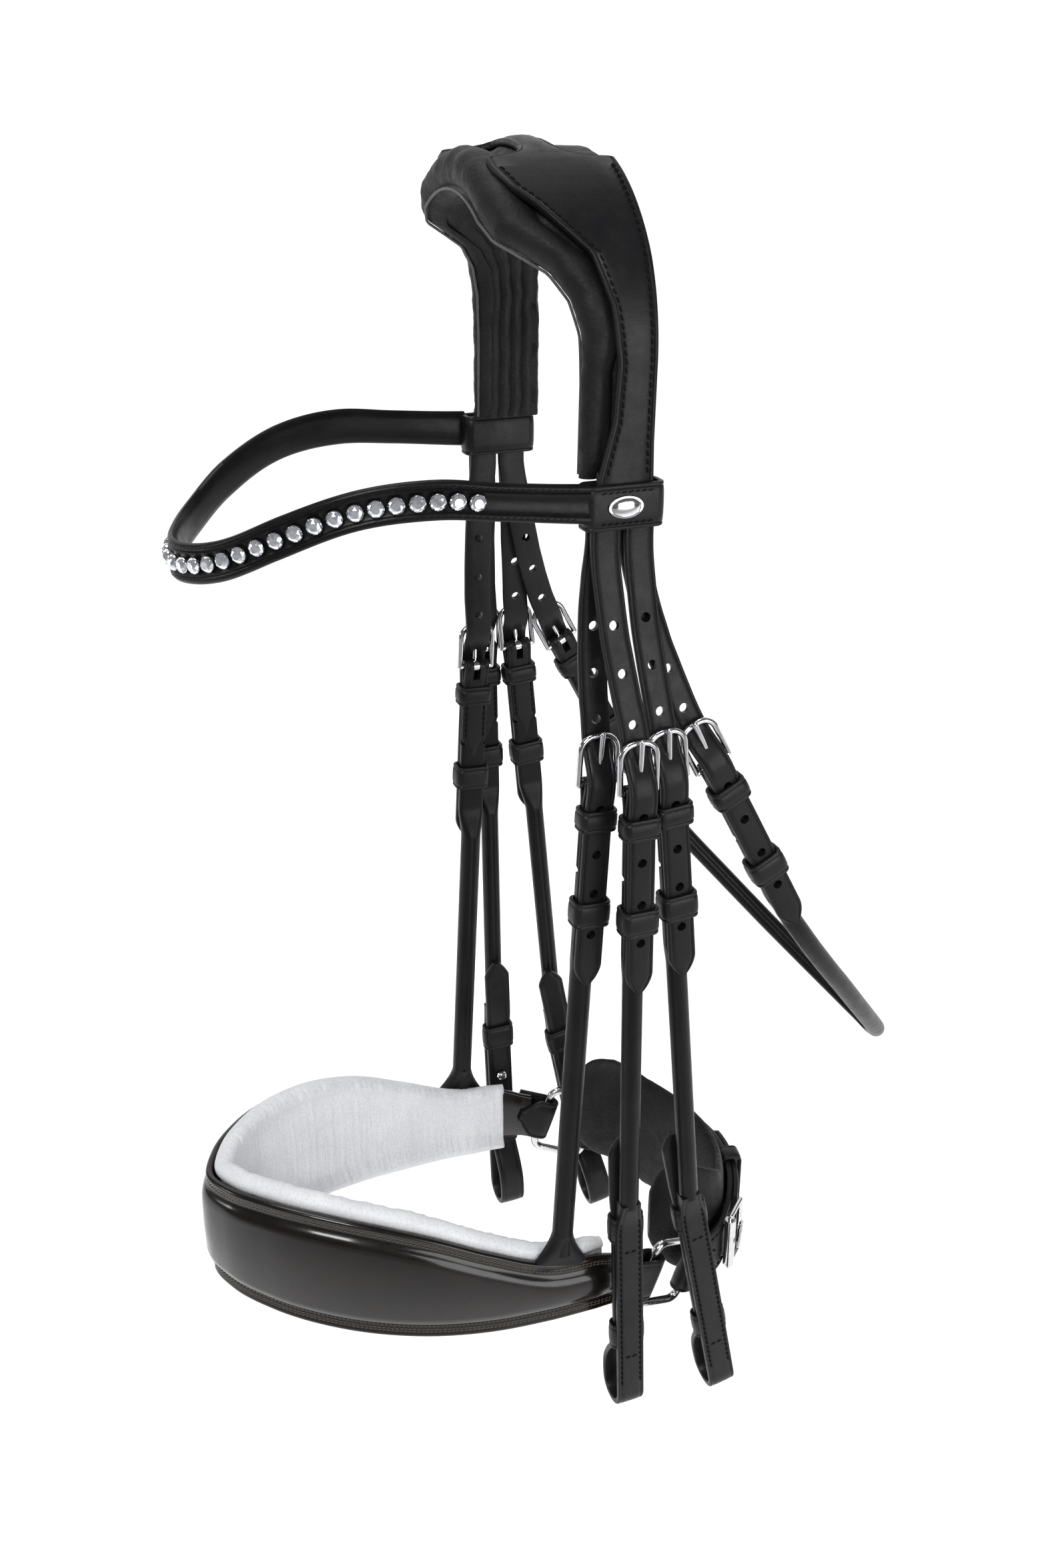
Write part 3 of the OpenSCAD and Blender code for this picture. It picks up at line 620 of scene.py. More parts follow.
def headpiece():
    rings = arch_rings(arch_stations(-109, 1.6, (8, 34)), head_section)
    obj = leather_loft("headpiece_panel", rings, "crown")
    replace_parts(obj, "headpiece", "under_strap_left", "under_strap_right")
    rows = arch_row(2.7, "front", 68.0, -92, 27) + arch_row(2.7, "rear", 68.0, -92, 27)
    stitch_rows("headpiece_stitching", rows, "crown", radius=0.48)

    def under(u, z, x):
        return [(UNDER_Y - w, UNDER_RHO + t) for w, t in strap_section(UNDER_A, 1.1, 1.5, 0.2, 0)]

    for side, sign in SIDES.items():
        stations = np.arange(QUARTER + UNDER_START, QUARTER + UNDER_END, 1.8) * sign
        leather_loft(f"under_strap_panel_{side}", arch_rings(stations, under), "crown")


# ---- straps through the buckles ---------------------------------------------

STRAP_LINES = {
    "front_cheek": ([(6.4, -103), (6.4, -118), (8.3, -150), (11.2, -175), (13.2, -188)],
                    [(66.5, -103), (66.5, -118), (67.2, -126), (71, -143), (77, -164), (81.6, -179),
                     (83.7, -187.5)]),
    "rear_cheek": ([(19.8, -103), (19.8, -118), (22.2, -150), (25, -175), (26.3, -187)],
                   [(66.5, -103), (66.5, -118), (67, -126), (69.2, -143), (73.4, -164), (77.1, -179),
                    (79, -186.5)]),
    "noseband": ([(5.9, -103), (5.8, -117), (4.4, -128), (3.3, -142), (2.9, -160), (3.2, -175),
                  (4.2, -189.5)],
                 [(63.5, -103), (63.5, -117), (63.4, -128), (63.6, -142), (64.6, -160), (66, -175),
                  (67.2, -189.5)]),
    "throat": ([(18.4, -103), (18.7, -117), (21, -128), (24.2, -142), (28.4, -157), (33.2, -171), (39, -186)],
               [(63.5, -103), (63.5, -117), (63.9, -128), (65.2, -142), (68.4, -157), (72, -171),
                (74.9, -186)]),
}
THROUGH_BUCKLE = [(-1.6, 0, 13.5), (0.7, 0, 9.8), (3.4, 0, 5.6), (4.7, 0, 1.5), (4.6, 0, -4), (3.9, 0, -9),
                  (3.5, 0, -14),
                  (3.5, 0, -30), (3.5, 0, -50), (3.5, 0, -70), (3.5, 0, -87)]
HOLES = (62, 44, 26, -9, -28, -46, -64)


def strap_path(name):
    yz, xz = STRAP_LINES[name]
    low = yz[-1][1]
    upper = [at_z(z, yz, xz) for z in np.arange(-103, low + 4, -6)]
    lower = local_to_frame(name, THROUGH_BUCKLE)
    return smooth(np.vstack([upper, lower]), 1.3)


def tip_widths(path, half, tip=9.5):
    """Half widths that run out to an ogee point at the path's end."""
    left = length_along(path)[-1] - length_along(path)
    f = np.clip(left / tip, 0, 1)
    return half * np.clip(0.08 + 0.92 * (1 - (1 - f) ** 1.7) ** 0.8, 0, 1)


def buckle_strap(name, side, sign):
    path = strap_path(name)
    halves = tip_widths(path, STRAP_W / 2)
    sections = np.array([strap_section(a, STRAP_T / 2) for a in halves])
    rings = sweep_rings(path, OUT, sections)
    obj = leather_loft(f"{name}_hole_strap_{side}", rings, sign=sign)
    _, _, outward = axes_along(path, OUT)
    cutters = []
    for z in HOLES:
        spot = local_to_frame(name, [(0, 0, z)])[0]
        i = int(np.argmin(np.abs((path - spot)[:, 2]) + 0.3 * np.abs((path - spot)[:, 1])))
        verts, faces = peg(path[i], outward[i], 1.9, 8)
        cutters.append((verts * (sign, 1, 1), faces))
    cut(obj, cutters)
    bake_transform(obj)
    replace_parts(obj, f"{name}_strap_end_{side}")


# ---- cheek straps below the buckles -----------------------------------------

FOLD_T = 0.9
FOLD_PATH = [(-0.97, 0, -44), (-0.97, 0, -30), (-0.97, 0, -12), (-1.1, 0, -6), (-1.9, 0, -2.6), (-2.25, 0, 0),
             (-1.6, 0, 1.6), (0, 0, 2.25), (1.6, 0, 1.6), (2.25, 0, 0), (1.9, 0, -2.6), (1.1, 0, -6),
             (0.97, 0, -12),
             (0.97, 0, -30), (0.97, 0, -50), (0.97, 0, -72)]


def fold_piece(name, side, sign, body):
    """Two layers of leather round the buckle's bar, with a slot for the tongue."""
    path = smooth(FOLD_PATH, 0.9)
    run = length_along(path)
    tip = np.clip(run / 9, 0.1, 1) ** 0.7
    sections = np.array([strap_section(a, FOLD_T, 1.4, 0.22, 0.05) for a in STRAP_W / 2 * tip])
    outward = np.cross(unit(np.gradient(path, axis=0)), AFT)
    rings = rings_on(path, AFT, outward, sections)
    obj = leather_loft(f"{name}_buckle_fold_{side}", local_to_frame(name, rings), body, sign=sign)
    x, y, z = np.array([1, 1, 1, 1, -1, -1, -1, -1]) * 6, np.array([1, -1, -1, 1] * 2) * 1.6, \
        np.array([1, 1, -1, -1] * 2) * 6
    faces = [(0, 1, 2, 3), (7, 6, 5, 4), (0, 4, 5, 1), (1, 5, 6, 2), (2, 6, 7, 3), (3, 7, 4, 0)]
    cut(obj, [(local_to_frame(name, np.stack([x, y, z], axis=1)) * (sign, 1, 1), faces)])
    return obj


ROLL_X = -2.3
# Half width and half thickness of the flat leather, and the length it takes to become round
FLAT_A, FLAT_H, ROLLING = 5.8, 1.88, 15


def rolled_sections(f, radius, n, dent):
    """Flat where f is 0, and round with a seam where it is 1."""
    return np.array([oval_section(FLAT_A + (radius - FLAT_A) * k, FLAT_H + (radius - FLAT_H) * k,
                                  7 - 5 * k ** 0.5,
                                  n, dent * k) for k in f])


def roll_rings(name, radius, end, flat_end=-70):
    """The strap below the fold: flat, then rolled round from flat_end down."""
    z = np.concatenate([np.arange(-38, flat_end, -3.0), np.arange(flat_end, flat_end - 16, -1.0),
                        np.arange(flat_end - 16, -end, -3.0), [-end]])
    f = ease((flat_end - z) / ROLLING)
    path = np.stack([ROLL_X * f, 0 * z, z], axis=1)
    return local_to_frame(name, rings_on(path, AFT, OUT, rolled_sections(f, radius, 32, 0.55)))


def band(x0, x1, y0, y1, z0, z1, wall, r=2.2):
    """A keeper: a creased strip of leather closed into a loop round Z."""
    loop = rounded_loop(x0 - wall / 2, x1 + wall / 2, y0 - wall / 2, y1 + wall / 2, r)
    path = np.column_stack([loop, np.full(len(loop), (z0 + z1) / 2)])
    section = strap_section((z1 - z0) / 2, wall / 2, 1.5, 0.3, 0.25)
    return rings_on(path, UP, np.cross(loop_tangent(path), UP), section)


def keeper(name, label, side, sign, z, body, x0=-2.3):
    rings = band(x0, 5.1, -6.2, 6.2, z[0], z[1], 1.5)
    return leather_loft(f"{name}_{label}_{side}", local_to_frame(name, rings), body, closed=True,
                sign=sign)


def strap_stitches(name, side, sign, body):
    """The two rows at the back of the fold, where its end is turned back."""
    rows = []
    for y in (-4.2, 4.2):
        z = np.arange(-8, -36, -1.0)
        line = np.stack([np.full(len(z), -1.95), np.full(len(z), y) * np.clip((44 + z) / 9, 0.2, 1), z],
                        axis=1)
        rows.append(flat_row(local_to_frame(name, line), -OUT))
    stitch_rows(f"{name}_fold_stitching_{side}", rows, body, sign=sign, radius=0.3, pitch=2.6,
                length=1.9)


# Radius of each rolled strap, and how far below the bar it ends
CHEEK_R = 4.2
LOWER = {"noseband": (4.6, 225), "front_cheek": (CHEEK_R, 196), "rear_cheek": (CHEEK_R, 205)}


def lower_strap(name, side, sign):
    body = LOWER_BODY.get(name, f"{name}_{side}")
    fold_piece(name, side, sign, body)
    if name in LOWER:
        radius, end = LOWER[name]
        obj = loft(f"{name}_rolled_strap_{side}", roll_rings(name, radius, end), ROLLED, "leather", body,
                   sign=sign)
        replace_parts(obj, f"{name}_hanger_{side}" if name == "noseband" else f"{name}_strap_{side}")
    keeper(name, "fixed_keeper", side, sign, (-18.5, -9.5), body, -1.7)
    slide = keeper(name, "sliding_keeper", side, sign, (-60, -49), f"{name}_runner_{side}")
    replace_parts(slide, f"{name}_runner_{side}")
    strap_stitches(name, side, sign, body)


def hanger_foot(side, sign):
    """The noseband hanger's lower end, spread out where it enters the noseband."""
    z = np.arange(-214, -233, -1.0)
    f = np.clip((-214 - z) / 15, 0, 1) ** 1.6
    path = np.stack([np.full(len(z), ROLL_X) + 1.2 * f, -1.5 * f, z], axis=1)
    sections = np.array([oval_section(4.65 + 8 * k, 4.65 - 2.9 * k, 2 + 2 * k, 32) for k in f])
    rings = rings_on(path, AFT, OUT, sections)
    leather_loft(f"noseband_hanger_foot_{side}", local_to_frame("noseband", rings), "noseband",
         sign=sign)


# ---- billets ----------------------------------------------------------------

# Where the roll ends, the billet's lean, and its length down to the middle of the loop
BILLETS = {"front_cheek": (-195, 2.1, 107.5), "rear_cheek": (-204, 11.2, 113.0)}
LOOP_R, BILLET_A, BILLET_T = 6.5, 6.3, 2.8


def billet_to_frame(name, points):
    start, lean, _ = BILLETS[name]
    return about_x(points, lean) + local_to_frame(name, [(ROLL_X, 0, start)])[0]


def billet_path(length):
    r = LOOP_R + BILLET_T / 2
    down = [(0, 0, z) for z in np.arange(1.0, -length, -4.0)]
    loop = [(-r + r * math.cos(a), 0, -length - r * math.sin(a)) for a in np.linspace(0, math.pi, 15)]
    up = [(-15.2, 0, 10 - length), (-11.5, 0, 18 - length), (-6.2, 0, 26 - length), (-4.4, 0, 36 - length),
          (-4.4, 0, -55), (-4.4, 0, -38),
          (-4.4, 0, -24), (-4.4, 0, -14), (-4.5, 0, -8), (-5.6, 0, -3), (-6.2, 0, 3), (-6.4, 0, 12),
          (-6.6, 0, 30)]
    return smooth(down + loop + up, 1.2)


def billet(name, side, sign):
    body = f"{name}_{side}"
    length = BILLETS[name][2]
    path = billet_path(length)
    run = length_along(path)
    start = np.clip(run / 15, 0, 1) ** 1.3
    tip = np.clip((run[-1] - run) / 7, 0.08, 1) ** 0.55
    outward = np.cross(-AFT, unit(np.gradient(path, axis=0)))
    sections = [strap_section(BILLET_A * t * (0.7 + 0.3 * f), BILLET_T / 2 + 2.4 * (1 - f) ** 2, 1.6, 0.3,
                              0.1)
                for f, t in zip(start, tip)]
    rings = rings_on(path, -AFT, outward, sections)
    obj = leather_loft(f"{name}_billet_strap_{side}", billet_to_frame(name, rings), body,
               sign=sign)
    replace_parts(obj, f"{name}_billet_{side}")
    rows = []
    for edge in (-4.4, 4.4):
        down = (path[:, 2] > 6 - length) & (run < length) & (run > 9)
        line = path[down] - edge * AFT + (BILLET_T / 2 + 0.05) * outward[down]
        rows.append((billet_to_frame(name, line), outward[down]))
    rows += [(billet_to_frame(name, p), o) for p, o in cross_seams((-25.5, 22.5 - length))]
    stitch_rows(f"{name}_billet_stitching_{side}", rows, body, sign=sign, radius=0.46)
    for label, (z0, z1) in (("upper", (-21, -8)), ("lower", (27 - length, 40 - length))):
        rings = band(-6.1, -1.5, -BILLET_A, BILLET_A, z0, z1, 1.5)
        leather_loft(f"{name}_billet_keeper_{label}_{side}", billet_to_frame(name, rings), body,
             closed=True, sign=sign)


def cross_seams(heights):
    """Short rows of stitches across the billet beside its keepers."""
    y = np.arange(-4.0, 4.01, 0.5)
    return [flat_row(np.stack([np.full(len(y), BILLET_T / 2 + 0.1), y, np.full(len(y), z)], axis=1), OUT)
            for z in heights]


# ---- throatlatch ------------------------------------------------------------

THROAT_ROUTE = [(75.7, 84.6, -271.7), (75.7, 88, -278), (74.5, 97.5, -292), (69, 112, -311), (58, 131, -334),
                (43, 151, -358), (27, 169, -379), (14, 181.5, -393.5), (5, 187, -400), (0, 188, -401.5)]


def throatlatch():
    flat = [tuple(p) for p in local_to_frame("throat", [(0, 0, z) for z in (-38, -48, -58, -66)])]
    half = flat + THROAT_ROUTE
    route = half + [(-x, y, z) for x, y, z in half[-2::-1]]
    path = smooth(route, 1.6)
    run = length_along(path)
    near = np.minimum(run, run[-1] - run)
    f = ease((near - 30) / ROLLING)
    out = unit(np.stack([np.tanh(path[:, 0] / 12), 0.9 * (1 - np.abs(np.tanh(path[:, 0] / 30))),
                         0 * run], axis=1))
    rings = sweep_rings(path, out, rolled_sections(f, CHEEK_R, 28, 0.5))
    obj = loft("throatlatch_rolled_strap", rings, ROLLED, "leather", "throatlatch")
    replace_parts(obj, "throatlatch")


# ---- noseband ---------------------------------------------------------------

NOSE_PLAN = [(64, 38), (67.5, 14), (69, -10), (67.5, -40), (62, -70), (50, -101), (31, -128), (14, -142),
             (0, -147)]
NOSE_TOP = [(-160, -404), (-135, -400), (-100, -403), (-66, -413), (-41, -425), (-14, -437), (14, -441),
            (40, -450)]
NOSE_LOW = [(-160, -453), (-135, -457), (-100, -462), (-66, -466), (-41, -468), (-14, -469), (14, -471),
            (40, -479)]


def whole_plan(half, end_y=None):
    """Both sides of a plan drawn for the left, cut off behind end_y."""
    pts = [(x, y, 0.0) for x, y in half] + [(-x, y, 0.0) for x, y in half[-2::-1]]
    path = smooth(pts, 0.8)
    return path if end_y is None else path[path[:, 1] <= end_y]


def plan_axes(path, centre):
    """Outward directions in plan: away from the axis through centre."""
    outward = np.cross(unit(np.gradient(path, axis=0)), UP)
    if np.dot(outward[len(path) // 2], path[len(path) // 2] - np.array(centre)) < 0:
        outward = -outward
    return outward


def standing_rings(path, outward, sections):
    """Rings of (height, outward) points on a path in plan."""
    rings = path[:, None] * (1, 1, 0) + sections[..., 1:] * outward[:, None]
    rings[..., 2] = sections[..., 0]
    return rings


def smooth_heights(table, y):
    """Edge heights eased between those of the table."""
    dense = smooth([(a, b, 0.0) for a, b in table], 1.0)
    return np.interp(y, dense[:, 0], dense[:, 1])


def nose_leather_section(low, top):
    """Bead, stitched border, valley and padded middle, from the lower edge up and back down inside."""
    h = top - low
    raised = [(6.6, 1.2), (7.8, 2.6), (9.5, 3.7), (12.5, 4.4)]
    lower = [(0.2, 0.9), (0.7, 1.6), (1.5, 1.85), (2.3, 1.5), (3.0, 1.35), (4.4, 1.3), (5.5, 1.0)]
    front = lower + raised
    points = [(low + z, t) for z, t in front]
    points += [(low + h / 2, 4.7)]
    points += [(top - z, t) for z, t in front[::-1]]
    points += [(top, 0), (top - 0.2, -0.9), (top - 0.9, -1.5), (low + h / 2, -1.6), (low + 0.9, -1.5),
               (low + 0.2, -0.9),
               (low, 0)]
    return points


def noseband_leather():
    path = whole_plan(NOSE_PLAN, 30)
    outward = plan_axes(path, (0, 0, 0))
    low, top = smooth_heights(NOSE_LOW, path[:, 1]), smooth_heights(NOSE_TOP, path[:, 1])
    flat = np.clip((path[:, 1] - 8) / 16, 0, 1) ** 1.2
    sections = []
    for a, b, f in zip(low, top, flat):
        pts = np.array(nose_leather_section(a + 2 * f, b - 2 * f))
        over = pts[:, 1] > 1.4
        pts[over, 1] = 1.4 + (pts[over, 1] - 1.4) * (1 - 0.85 * f)
        sections.append(pts)
    sections = np.array(sections)
    rings = standing_rings(path, outward, sections)
    obj = loft("noseband_polished_leather", rings, PATENT, "patent", "noseband", angle=50)
    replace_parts(obj, "noseband_leather")
    rows = []
    for base, sgn in ((low, 1), (top, -1)):
        for inset in (3.1, 4.5):
            rows.append(standing_row(path, outward, 1.38, base + sgn * (inset + 2 * flat)))
    stitch_rows("noseband_stitching", rows, "noseband", length=1.5, radius=0.27, pitch=1.9, turn=25,
                slot="patent")


def padding_section(low, top, squash=1.0):
    """Two rolled edges with a thinner quilted middle; thickness runs inward from the leather."""
    r = 4.4 * squash
    mid = (low + top) / 2
    pts = []
    for a in np.linspace(-60, 200, 13):                       # upper roll, from the leather side over the top
        c, s = cos_sin(a)
        pts.append((top - r + r * s, -2.2 - r + r * c))
    inner = [(top - 2 * r - 0.6, -2.2 - 1.25 * r), (top - 2 * r - 3, -2.2 - 1.1 * r), (mid, -2.2 - 1.3 * r),
             (low + 2 * r + 3, -2.2 - 1.1 * r), (low + 2 * r + 0.6, -2.2 - 1.25 * r)]
    pts += inner
    for a in np.linspace(160, 420, 13):                       # lower roll
        c, s = cos_sin(a)
        pts.append((low + r + r * s, -2.2 - r + r * c))
    pts += [(mid, -2.15)]
    return pts


def noseband_padding():
    path = whole_plan(NOSE_PLAN, 14)
    outward = plan_axes(path, (0, 0, 0))
    low = smooth_heights(NOSE_LOW, path[:, 1]) - 3.2
    top = smooth_heights(NOSE_TOP, path[:, 1]) + 5.2
    run = length_along(path)
    end = np.minimum(run, run[-1] - run)
    squash = 0.55 + 0.45 * np.clip(end / 16, 0, 1) ** 0.6
    sections = np.array([padding_section(a, b, q) for a, b, q in zip(low, top, squash)])
    rings = standing_rings(path, outward, sections)
    flat = rings.reshape(-1, 3)
    along = np.repeat(run, rings.shape[1])
    line = np.stack([along, flat[:, 2], 0 * along], axis=1)
    creases = ruffle(line, 2.2, 0.42, (1, 0.16, 1), 2.0) + ruffle(line, 9, 0.5, (1, 0.5, 1), 5.0)
    push = sections[..., 1].reshape(-1) < -4
    moved = flat - np.repeat(outward, rings.shape[1], axis=0) * (creases * push)[:, None]
    moved[:, 2] += np.where(push, 0.5 * creases, 0)
    obj = loft("noseband_white_padding", moved.reshape(rings.shape), WHITE, "white_padding", "noseband",
               angle=70)
    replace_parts(obj, "noseband_padding")


RING_POS, RING_LEAN, RING_TURN, RING_HALF = (61.5, 47.5, -466.5), -20.0, 14.0, 13.0


def ring_to_frame(points):
    return about_x(about_z(points, RING_TURN), RING_LEAN) + RING_POS


def ring_wrap(name, side, sign, body, bar_y, direction, radius, height, thick, tail_out, tail_in):
    """Leather wrapped round one upright bar of a ring, both ends running off along direction."""
    arc = [(radius * math.cos(a), bar_y - direction * radius * math.sin(a)) for a in np.linspace(0, math.pi,
                                                                                                 13)]
    outer = [(radius - 0.04 * d, bar_y + direction * d) for d in (tail_out, tail_out * 0.6, tail_out * 0.3)]
    inner = [(-radius + 0.03 * d, bar_y + direction * d) for d in (tail_in * 0.3, tail_in * 0.6, tail_in)]
    path = smooth([(x, y, 0.0) for x, y in outer + arc + inner], 0.9)
    run = length_along(path)
    tip = np.clip((run[-1] - run) / 8, 0.15, 1) ** 0.6
    outward = np.cross(unit(np.gradient(path, axis=0)), UP)
    if outward[0][0] < 0:
        outward = -outward
    sections = [strap_section(height / 2 * f, thick / 2, 1.8, 0.3, 0.1) for f in tip]
    leather_loft(f"{name}_{side}", ring_to_frame(rings_on(path, UP, outward, sections)), body,
         sign=sign)


# ---- chin strap -------------------------------------------------------------

CHIN_PLAN = [(57.6, 58.5), (56.8, 68), (53, 78.2), (46.3, 85.2), (36, 92.35), (24.6, 97.66), (12.5, 100.9),
             (0, 102)]
CHIN_W = 25.0
CHIN_MIDDLE = [(60, -473.5), (110, -455.5)]
# Outer face of the chin padding in plan, and its edges seen from the side
CHIN_PAD_PLAN = [(48.5, 45), (50, 55), (50, 66), (48, 77), (44.7, 83.3), (35, 90.2), (23.8, 95.4),
                 (12.1, 98.5), (0, 99.6)]
CHIN_PAD_LOW = [(30, -468), (50, -474), (68, -484), (86, -498), (110, -506)]
CHIN_PAD_TOP = [(30, -424), (50, -418), (68, -423), (86, -434), (110, -440)]
CHIN_PAD_T = 8.0


def chin_sheet(name, path, outward, half, thick, offset, tip=None):
    """A flat strap on the chin strap's path, half wide each way. Its last end is rounded over tip."""
    run = length_along(path)
    sections = []
    for k, p in enumerate(path):
        f = 1.0 if tip is None else float(np.clip((run[-1] - run[k]) / tip, 0.12, 1)) ** 0.6
        s = strap_section(half * f, thick / 2, 2.0, 0.3, 0.15)
        sections.append(np.stack([look_up(CHIN_MIDDLE, p[1]) + s[:, 0], s[:, 1] + offset], axis=1))
    rings = standing_rings(path, outward, np.array(sections))
    return leather_loft(name, rings, "chin_strap")


def chin_strap():
    path = whole_plan(CHIN_PLAN)[4:-4]
    outward = plan_axes(path, (0, 30, 0))
    obj = chin_sheet("chin_strap_leather", path, outward, CHIN_W / 2, 2.8, 0)
    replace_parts(obj, "chin_strap")
    middle = np.array([look_up(CHIN_MIDDLE, y) for y in path[:, 1]])
    inset = CHIN_W / 2 - 3
    rows = [standing_row(path, outward, 1.5, middle + dz, trim=8) for dz in (-inset, inset)]
    stitch_rows("chin_strap_stitching", rows, "chin_strap", radius=0.32)
    covered = (path[:, 0] < 41) & (path[:, 0] > -14)
    arc, side = path[covered], outward[covered]
    if arc[0, 0] < arc[-1, 0]:
        arc, side = arc[::-1], side[::-1]
    end = chin_sheet("chin_strap_doubled_end", arc, side, CHIN_W / 2 - 0.5, 2.4, 2.95, tip=12)
    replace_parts(end, "chin_strap_end")
    run = length_along(arc)
    cutters = []
    for s in (14, 31, 40):
        i = int(np.argmin(abs(run - s)))
        cutters.append(peg(arc[i] + side[i] * 3 + (0, 0, look_up(CHIN_MIDDLE, arc[i, 1])), side[i], 2.2, 9))
    cut(end, cutters)
    bend_keeper()


def bend_keeper():
    """The keeper round both layers of the chin strap."""
    centre = np.array([17.0, 100.5, look_up(CHIN_MIDDLE, 100)])
    loop = rounded_loop(-2.8, 5.6, -CHIN_W / 2 - 1.2, CHIN_W / 2 + 1.2, 2.0)
    path = np.column_stack([0 * loop[:, 0], loop[:, 0], loop[:, 1]])
    outward = np.cross(loop_tangent(path), OUT)
    if np.dot(outward[0], path[0]) < 0:
        outward = -outward
    rings = about_z(rings_on(path, OUT, outward, strap_section(5, 0.75, 1.5, 0.3, 0.2)), -13)
    obj = leather_loft("chin_strap_loop_keeper", rings + centre, "chin_strap", closed=True)
    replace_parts(obj, "chin_keeper")


def chin_pad():
    path = whole_plan(CHIN_PAD_PLAN)
    outward = plan_axes(path, (0, 30, 0))
    run = length_along(path)
    end = np.minimum(run, run[-1] - run)
    swell = np.sqrt(np.clip(1 - (1 - end / 16).clip(0) ** 2, 0.03, 1))
    sections = []
    for p, q in zip(path, swell):
        low, top = look_up(CHIN_PAD_LOW, p[1]), look_up(CHIN_PAD_TOP, p[1])
        s = oval_section((top - low) / 2 * (0.4 + 0.6 * q), CHIN_PAD_T / 2 * (0.3 + 0.7 * q), 2.5, 44)
        sections.append(np.stack([(low + top) / 2 + s[:, 0], s[:, 1] - CHIN_PAD_T / 2], axis=1))
    rings = standing_rings(path, outward, np.array(sections))
    flat = rings.reshape(-1, 3)
    puff = ruffle(flat, 8, 0.5, (1, 1, 0.5), 1.5) + ruffle(flat, 2.6, 0.25, (1, 1, 0.4), 4.4)
    centre = np.repeat(rings.mean(1), rings.shape[1], axis=0)
    inside = np.tile(np.where(sections[0][:, 1] < -CHIN_PAD_T / 2, 1.0, 0.4), len(path))
    flat = flat + unit(flat - centre) * (puff * inside)[:, None]
    obj = loft("chin_padding", flat.reshape(rings.shape), NAPPA, "nappa", "chin_pad", angle=60)
    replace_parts(obj, "chin_pad")


# ---- browband ---------------------------------------------------------------

BROW_PLAN = [(68.3, -0.8), (67.6, -20), (66, -45), (62, -70), (53.5, -95), (39.5, -117), (20.5, -132),
             (0, -138)]
BROW_TOP = [(-150, -118), (-138, -116), (-128, -111.5), (-109, -100), (-84, -90), (-57, -87), (-34, -89.5),
            (-8, -92),
            (30, -94)]
BROW_LOW = [(-150, -133), (-138, -131.5), (-128, -127), (-109, -115.5), (-84, -104.5), (-57, -101.5),
            (-34, -103.5),
            (-8, -106.5), (30, -110.5)]


def brow_section(low, top):
    """Padded backing, two raised stitched borders and a channel for the crystals."""
    h = top - low
    lower = [(0.0, 0.2), (0.3, 1.2), (1.2, 1.95), (2.2, 2.0), (2.9, 1.55), (3.5, 2.05), (4.3, 1.5)]
    pts = [(low + z, t) for z, t in lower] + [(low + h / 2, 1.2)] + [(top - z, t) for z, t in lower[::-1]]
    back = [(1.0, -1.4), (3.5, -2.3)]
    pts += [(top - z, t) for z, t in back] + [(low + h / 2, -2.5)] + [(low + z, t) for z, t in back[::-1]]
    return pts


def browband():
    path = whole_plan(BROW_PLAN)
    outward = plan_axes(path, (0, 0, 0))
    low, top = smooth_heights(BROW_LOW, path[:, 1]), smooth_heights(BROW_TOP, path[:, 1])
    sections = np.array([brow_section(a, b) for a, b in zip(low, top)])
    obj = loft("browband_leather", standing_rings(path, outward, sections), ROLLED, "leather", "browband",
               angle=45)
    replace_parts(obj, "browband")
    rows = [standing_row(path, outward, 1.85, height) for height in (low + 1.9, top - 1.9)]
    stitch_rows("browband_stitching", rows, "browband", length=1.8, radius=0.28, pitch=2.5)
    for side, sign in SIDES.items():
        rings = band(61.9, 68.3, -0.4, 26.6, -110.2, -93.6, 2.1, 2.4)
        leather_loft(f"browband_loop_{side}", rings, "browband", closed=True, sign=sign)
        rows = []
        for z in (-107.6, -96.2):
            y = np.arange(2.0, 25.0, 0.5)
            rows.append(flat_row(np.stack([np.full(len(y), 70.55), y, np.full(len(y), z)], axis=1), OUT))
        stitch_rows(f"browband_loop_stitching_{side}", rows, "browband", sign=sign, radius=0.3,
                    pitch=2.6, length=1.9)


def loose_parts(node):
    """The points of each separate solid in a CAD node, in millimetres."""
    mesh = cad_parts[node].data
    b = bmesh.new()
    b.from_mesh(mesh)
    b.verts.ensure_lookup_table()
    bmesh.ops.remove_doubles(b, verts=b.verts, dist=1e-6)
    seen, groups = set(), []
    for v in b.verts:
        if v.index in seen:
            continue
        stack, group = [v], []
        seen.add(v.index)
        while stack:
            w = stack.pop()
            group.append(tuple(w.co))
            for e in w.link_edges:
                o = e.other_vert(w)
                if o.index not in seen:
                    seen.add(o.index)
                    stack.append(o)
        groups.append(np.array(group) / MM)
    b.free()
    return groups


def gem_template(r, h):
    """A round brilliant: table, crown facets, girdle and a shallow back."""
    rings = []
    for k, (radius, height, n, shift) in enumerate(((0.30 * r, 0.0, 8, 0.0), (0.98 * r, 0.25 * h, 8, 0.0),
                                                    (r, 0.42 * h, 8, 0.5), (0.80 * r, 0.80 * h, 8, 0.0),
                                                    (0.52 * r, h, 8, 0.5))):
        t = (np.arange(n) + shift) * 2 * math.pi / n
        rings.append(np.stack([radius * np.cos(t), radius * np.sin(t), np.full(n, height)], axis=1))
    verts = np.vstack(rings)
    faces = [tuple(range(7, -1, -1)), tuple(range(32, 40))]
    for k in range(4):
        for i in range(8):
            j = (i + 1) % 8
            a, b, c, d = k * 8 + i, k * 8 + j, (k + 1) * 8 + i, (k + 1) * 8 + j
            shifted = k in (1, 3)
            faces += [(a, b, c), (b, d, c)] if shifted else [(a, b, d), (a, d, c)]
    return verts, faces


